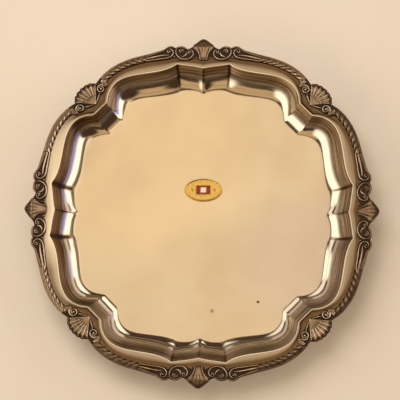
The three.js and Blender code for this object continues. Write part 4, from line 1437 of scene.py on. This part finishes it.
WINDOW_CREAM, CORNER_DARK, BAR_BROWN = (1.7, 1.5, 1.2), (0.06, 0.035, 0.02), (0.3, 0.22, 0.2)
south_side = (sky_step(Y, -0.3, -0.45), sky_step(Z, 0.41, 0.51), sky_step(Z, 0.86, 0.8))
east_high = (sky_step(X, 0.2, 0.34), sky_step(Z, 0.74, 0.82), sky_step(Y, 0.5, 0.3), sky_step(Y, -0.5, -0.3))
warm_side = (sky_step(X, -0.3, -0.5), sky_step(Z, 0.15, 0.42), sky_step(Z, 0.73, 0.66),
             sky_step(Y, 0.38, 0.28))
cool_side = (sky_step(X, 0.55, 0.65), sky_step(Z, 0.65, 0.59), sky_step(Y, 0.4, 0.3),
             sky_step(Y, -0.56, -0.44))
sky_patches = [
    ((0.62, 0.42, 0.22), south_side),
    ((0.32, 0.22, 0.13), (sky_step(Z, 0.26, 0.12),)),
    ((0.36, 0.27, 0.17), (room_bands(),)),
    ((1.27, 1.06, 0.75), (spot((-0.03, 0.2, 1), 27, 15),)),
    ((1.1, 0.88, 0.6), east_high),
    (WINDOW_CREAM, warm_side),
    ((0.34, 0.25, 0.16), (sky_step(X, 0.5, 0.6), sky_step(Z, 0.74, 0.68))),
    ((0.68, 0.64, 1.15), cool_side),
    (WINDOW_CREAM, (*cool_side, sky_step(Z, 0.24, 0.42))),
    (CORNER_DARK, (spot((0.43, -0.72, 0.54), 22, 12),)),
    (CORNER_DARK, (spot((0.66, -0.6, 0.42), 21, 13),)),
]
for z in (0.06, 0.21):
    level_bar = sky_step(X, 0.5, 0.6), sky_step(Z, z - 0.03, z - 0.015), sky_step(Z, z + 0.03, z + 0.015)
    sky_patches.append((BAR_BROWN, level_bar))
print("patches so far:", len(sky_patches))

# %% Panes
HIGH_PANE, LOW_PANE = (1.5, 1.32, 1.1), (0.85, 0.7, 0.6)
for side, strength in ((1, 1.0), (-1, 0.75)):
    facing = sky_towards((side, 1, 0))
    high_pane = sky_step(facing, 0.72, 0.79), sky_step(Z, 0.4, 0.46), sky_step(Z, 0.7, 0.64)
    low_pane = sky_step(facing, 0.84, 0.89), sky_step(Z, 0.1, 0.15), sky_step(Z, 0.33, 0.28)
    sky_patches.append(([part * strength for part in HIGH_PANE], high_pane))
    sky_patches.append(([part * strength for part in LOW_PANE], low_pane))
sky_colour = sky_ramp.outputs["Color"]
for colour, steps in sky_patches:
    sky_colour = sky_patch(sky_colour, colour, *steps)
sky.links.new(sky_colour, sky.nodes["Background"].inputs["Color"])
print("patches on the sky:", len(sky_patches))

# %% [markdown]
# ### The lamp
#
# One large soft lamp above and a little to the upper left lays a soft shadow.
# It is hidden from mirror-like metal, so no square of light shows in the flat.

# %% Key lamp
KEY_PLACE = Vector((-0.38, 0.62, 1.5))
key_data = bpy.data.lights.new("key_light", "AREA")
key_data.energy = 13.0
key_data.color = (1.0, 0.93, 0.88)
key_data.shape = "RECTANGLE"
key_data.size = 1.0
key_data.size_y = 1.0
key = bpy.data.objects.new("key_light", key_data)
bpy.context.scene.collection.objects.link(key)
key.location = KEY_PLACE
key.rotation_euler = KEY_PLACE.to_track_quat("Z", "Y").to_euler()
key.visible_glossy = False
print("key lamp is", round(KEY_PLACE.length, 2), "m away")

# %% [markdown]
# ## Camera
#
# A long lens from almost straight above keeps the salver square. Its place is
# measured from the flat, and it is turned a little about all three axes.

# %% Camera
CAMERA_PLACE = np.array([64.66, -235.32, 1272.80 + FLAT_Z]) * MM
TURN_X, TURN_Y, TURN_Z = radians(-11.02), radians(-2.94), radians(-0.40)
lens = bpy.data.cameras.new("camera")
lens.lens = 133.9
lens.sensor_width = 36
lens.clip_start, lens.clip_end = 0.05, 30
camera = bpy.data.objects.new("camera", lens)
bpy.context.scene.collection.objects.link(camera)
turns = [Matrix.Rotation(turn, 3, axis) for turn, axis in ((TURN_Z, "Z"), (TURN_Y, "Y"), (TURN_X, "X"))]
to_camera = turns[0] @ turns[1] @ turns[2]
camera.matrix_world = Matrix.Translation(CAMERA_PLACE.tolist()) @ to_camera.transposed().to_4x4()
bpy.context.scene.camera = camera
bpy.context.scene.view_settings.view_transform = "Standard"
print("camera is", round(float(CAMERA_PLACE[2]), 2), "m up, with a", round(lens.lens, 1), "mm lens")
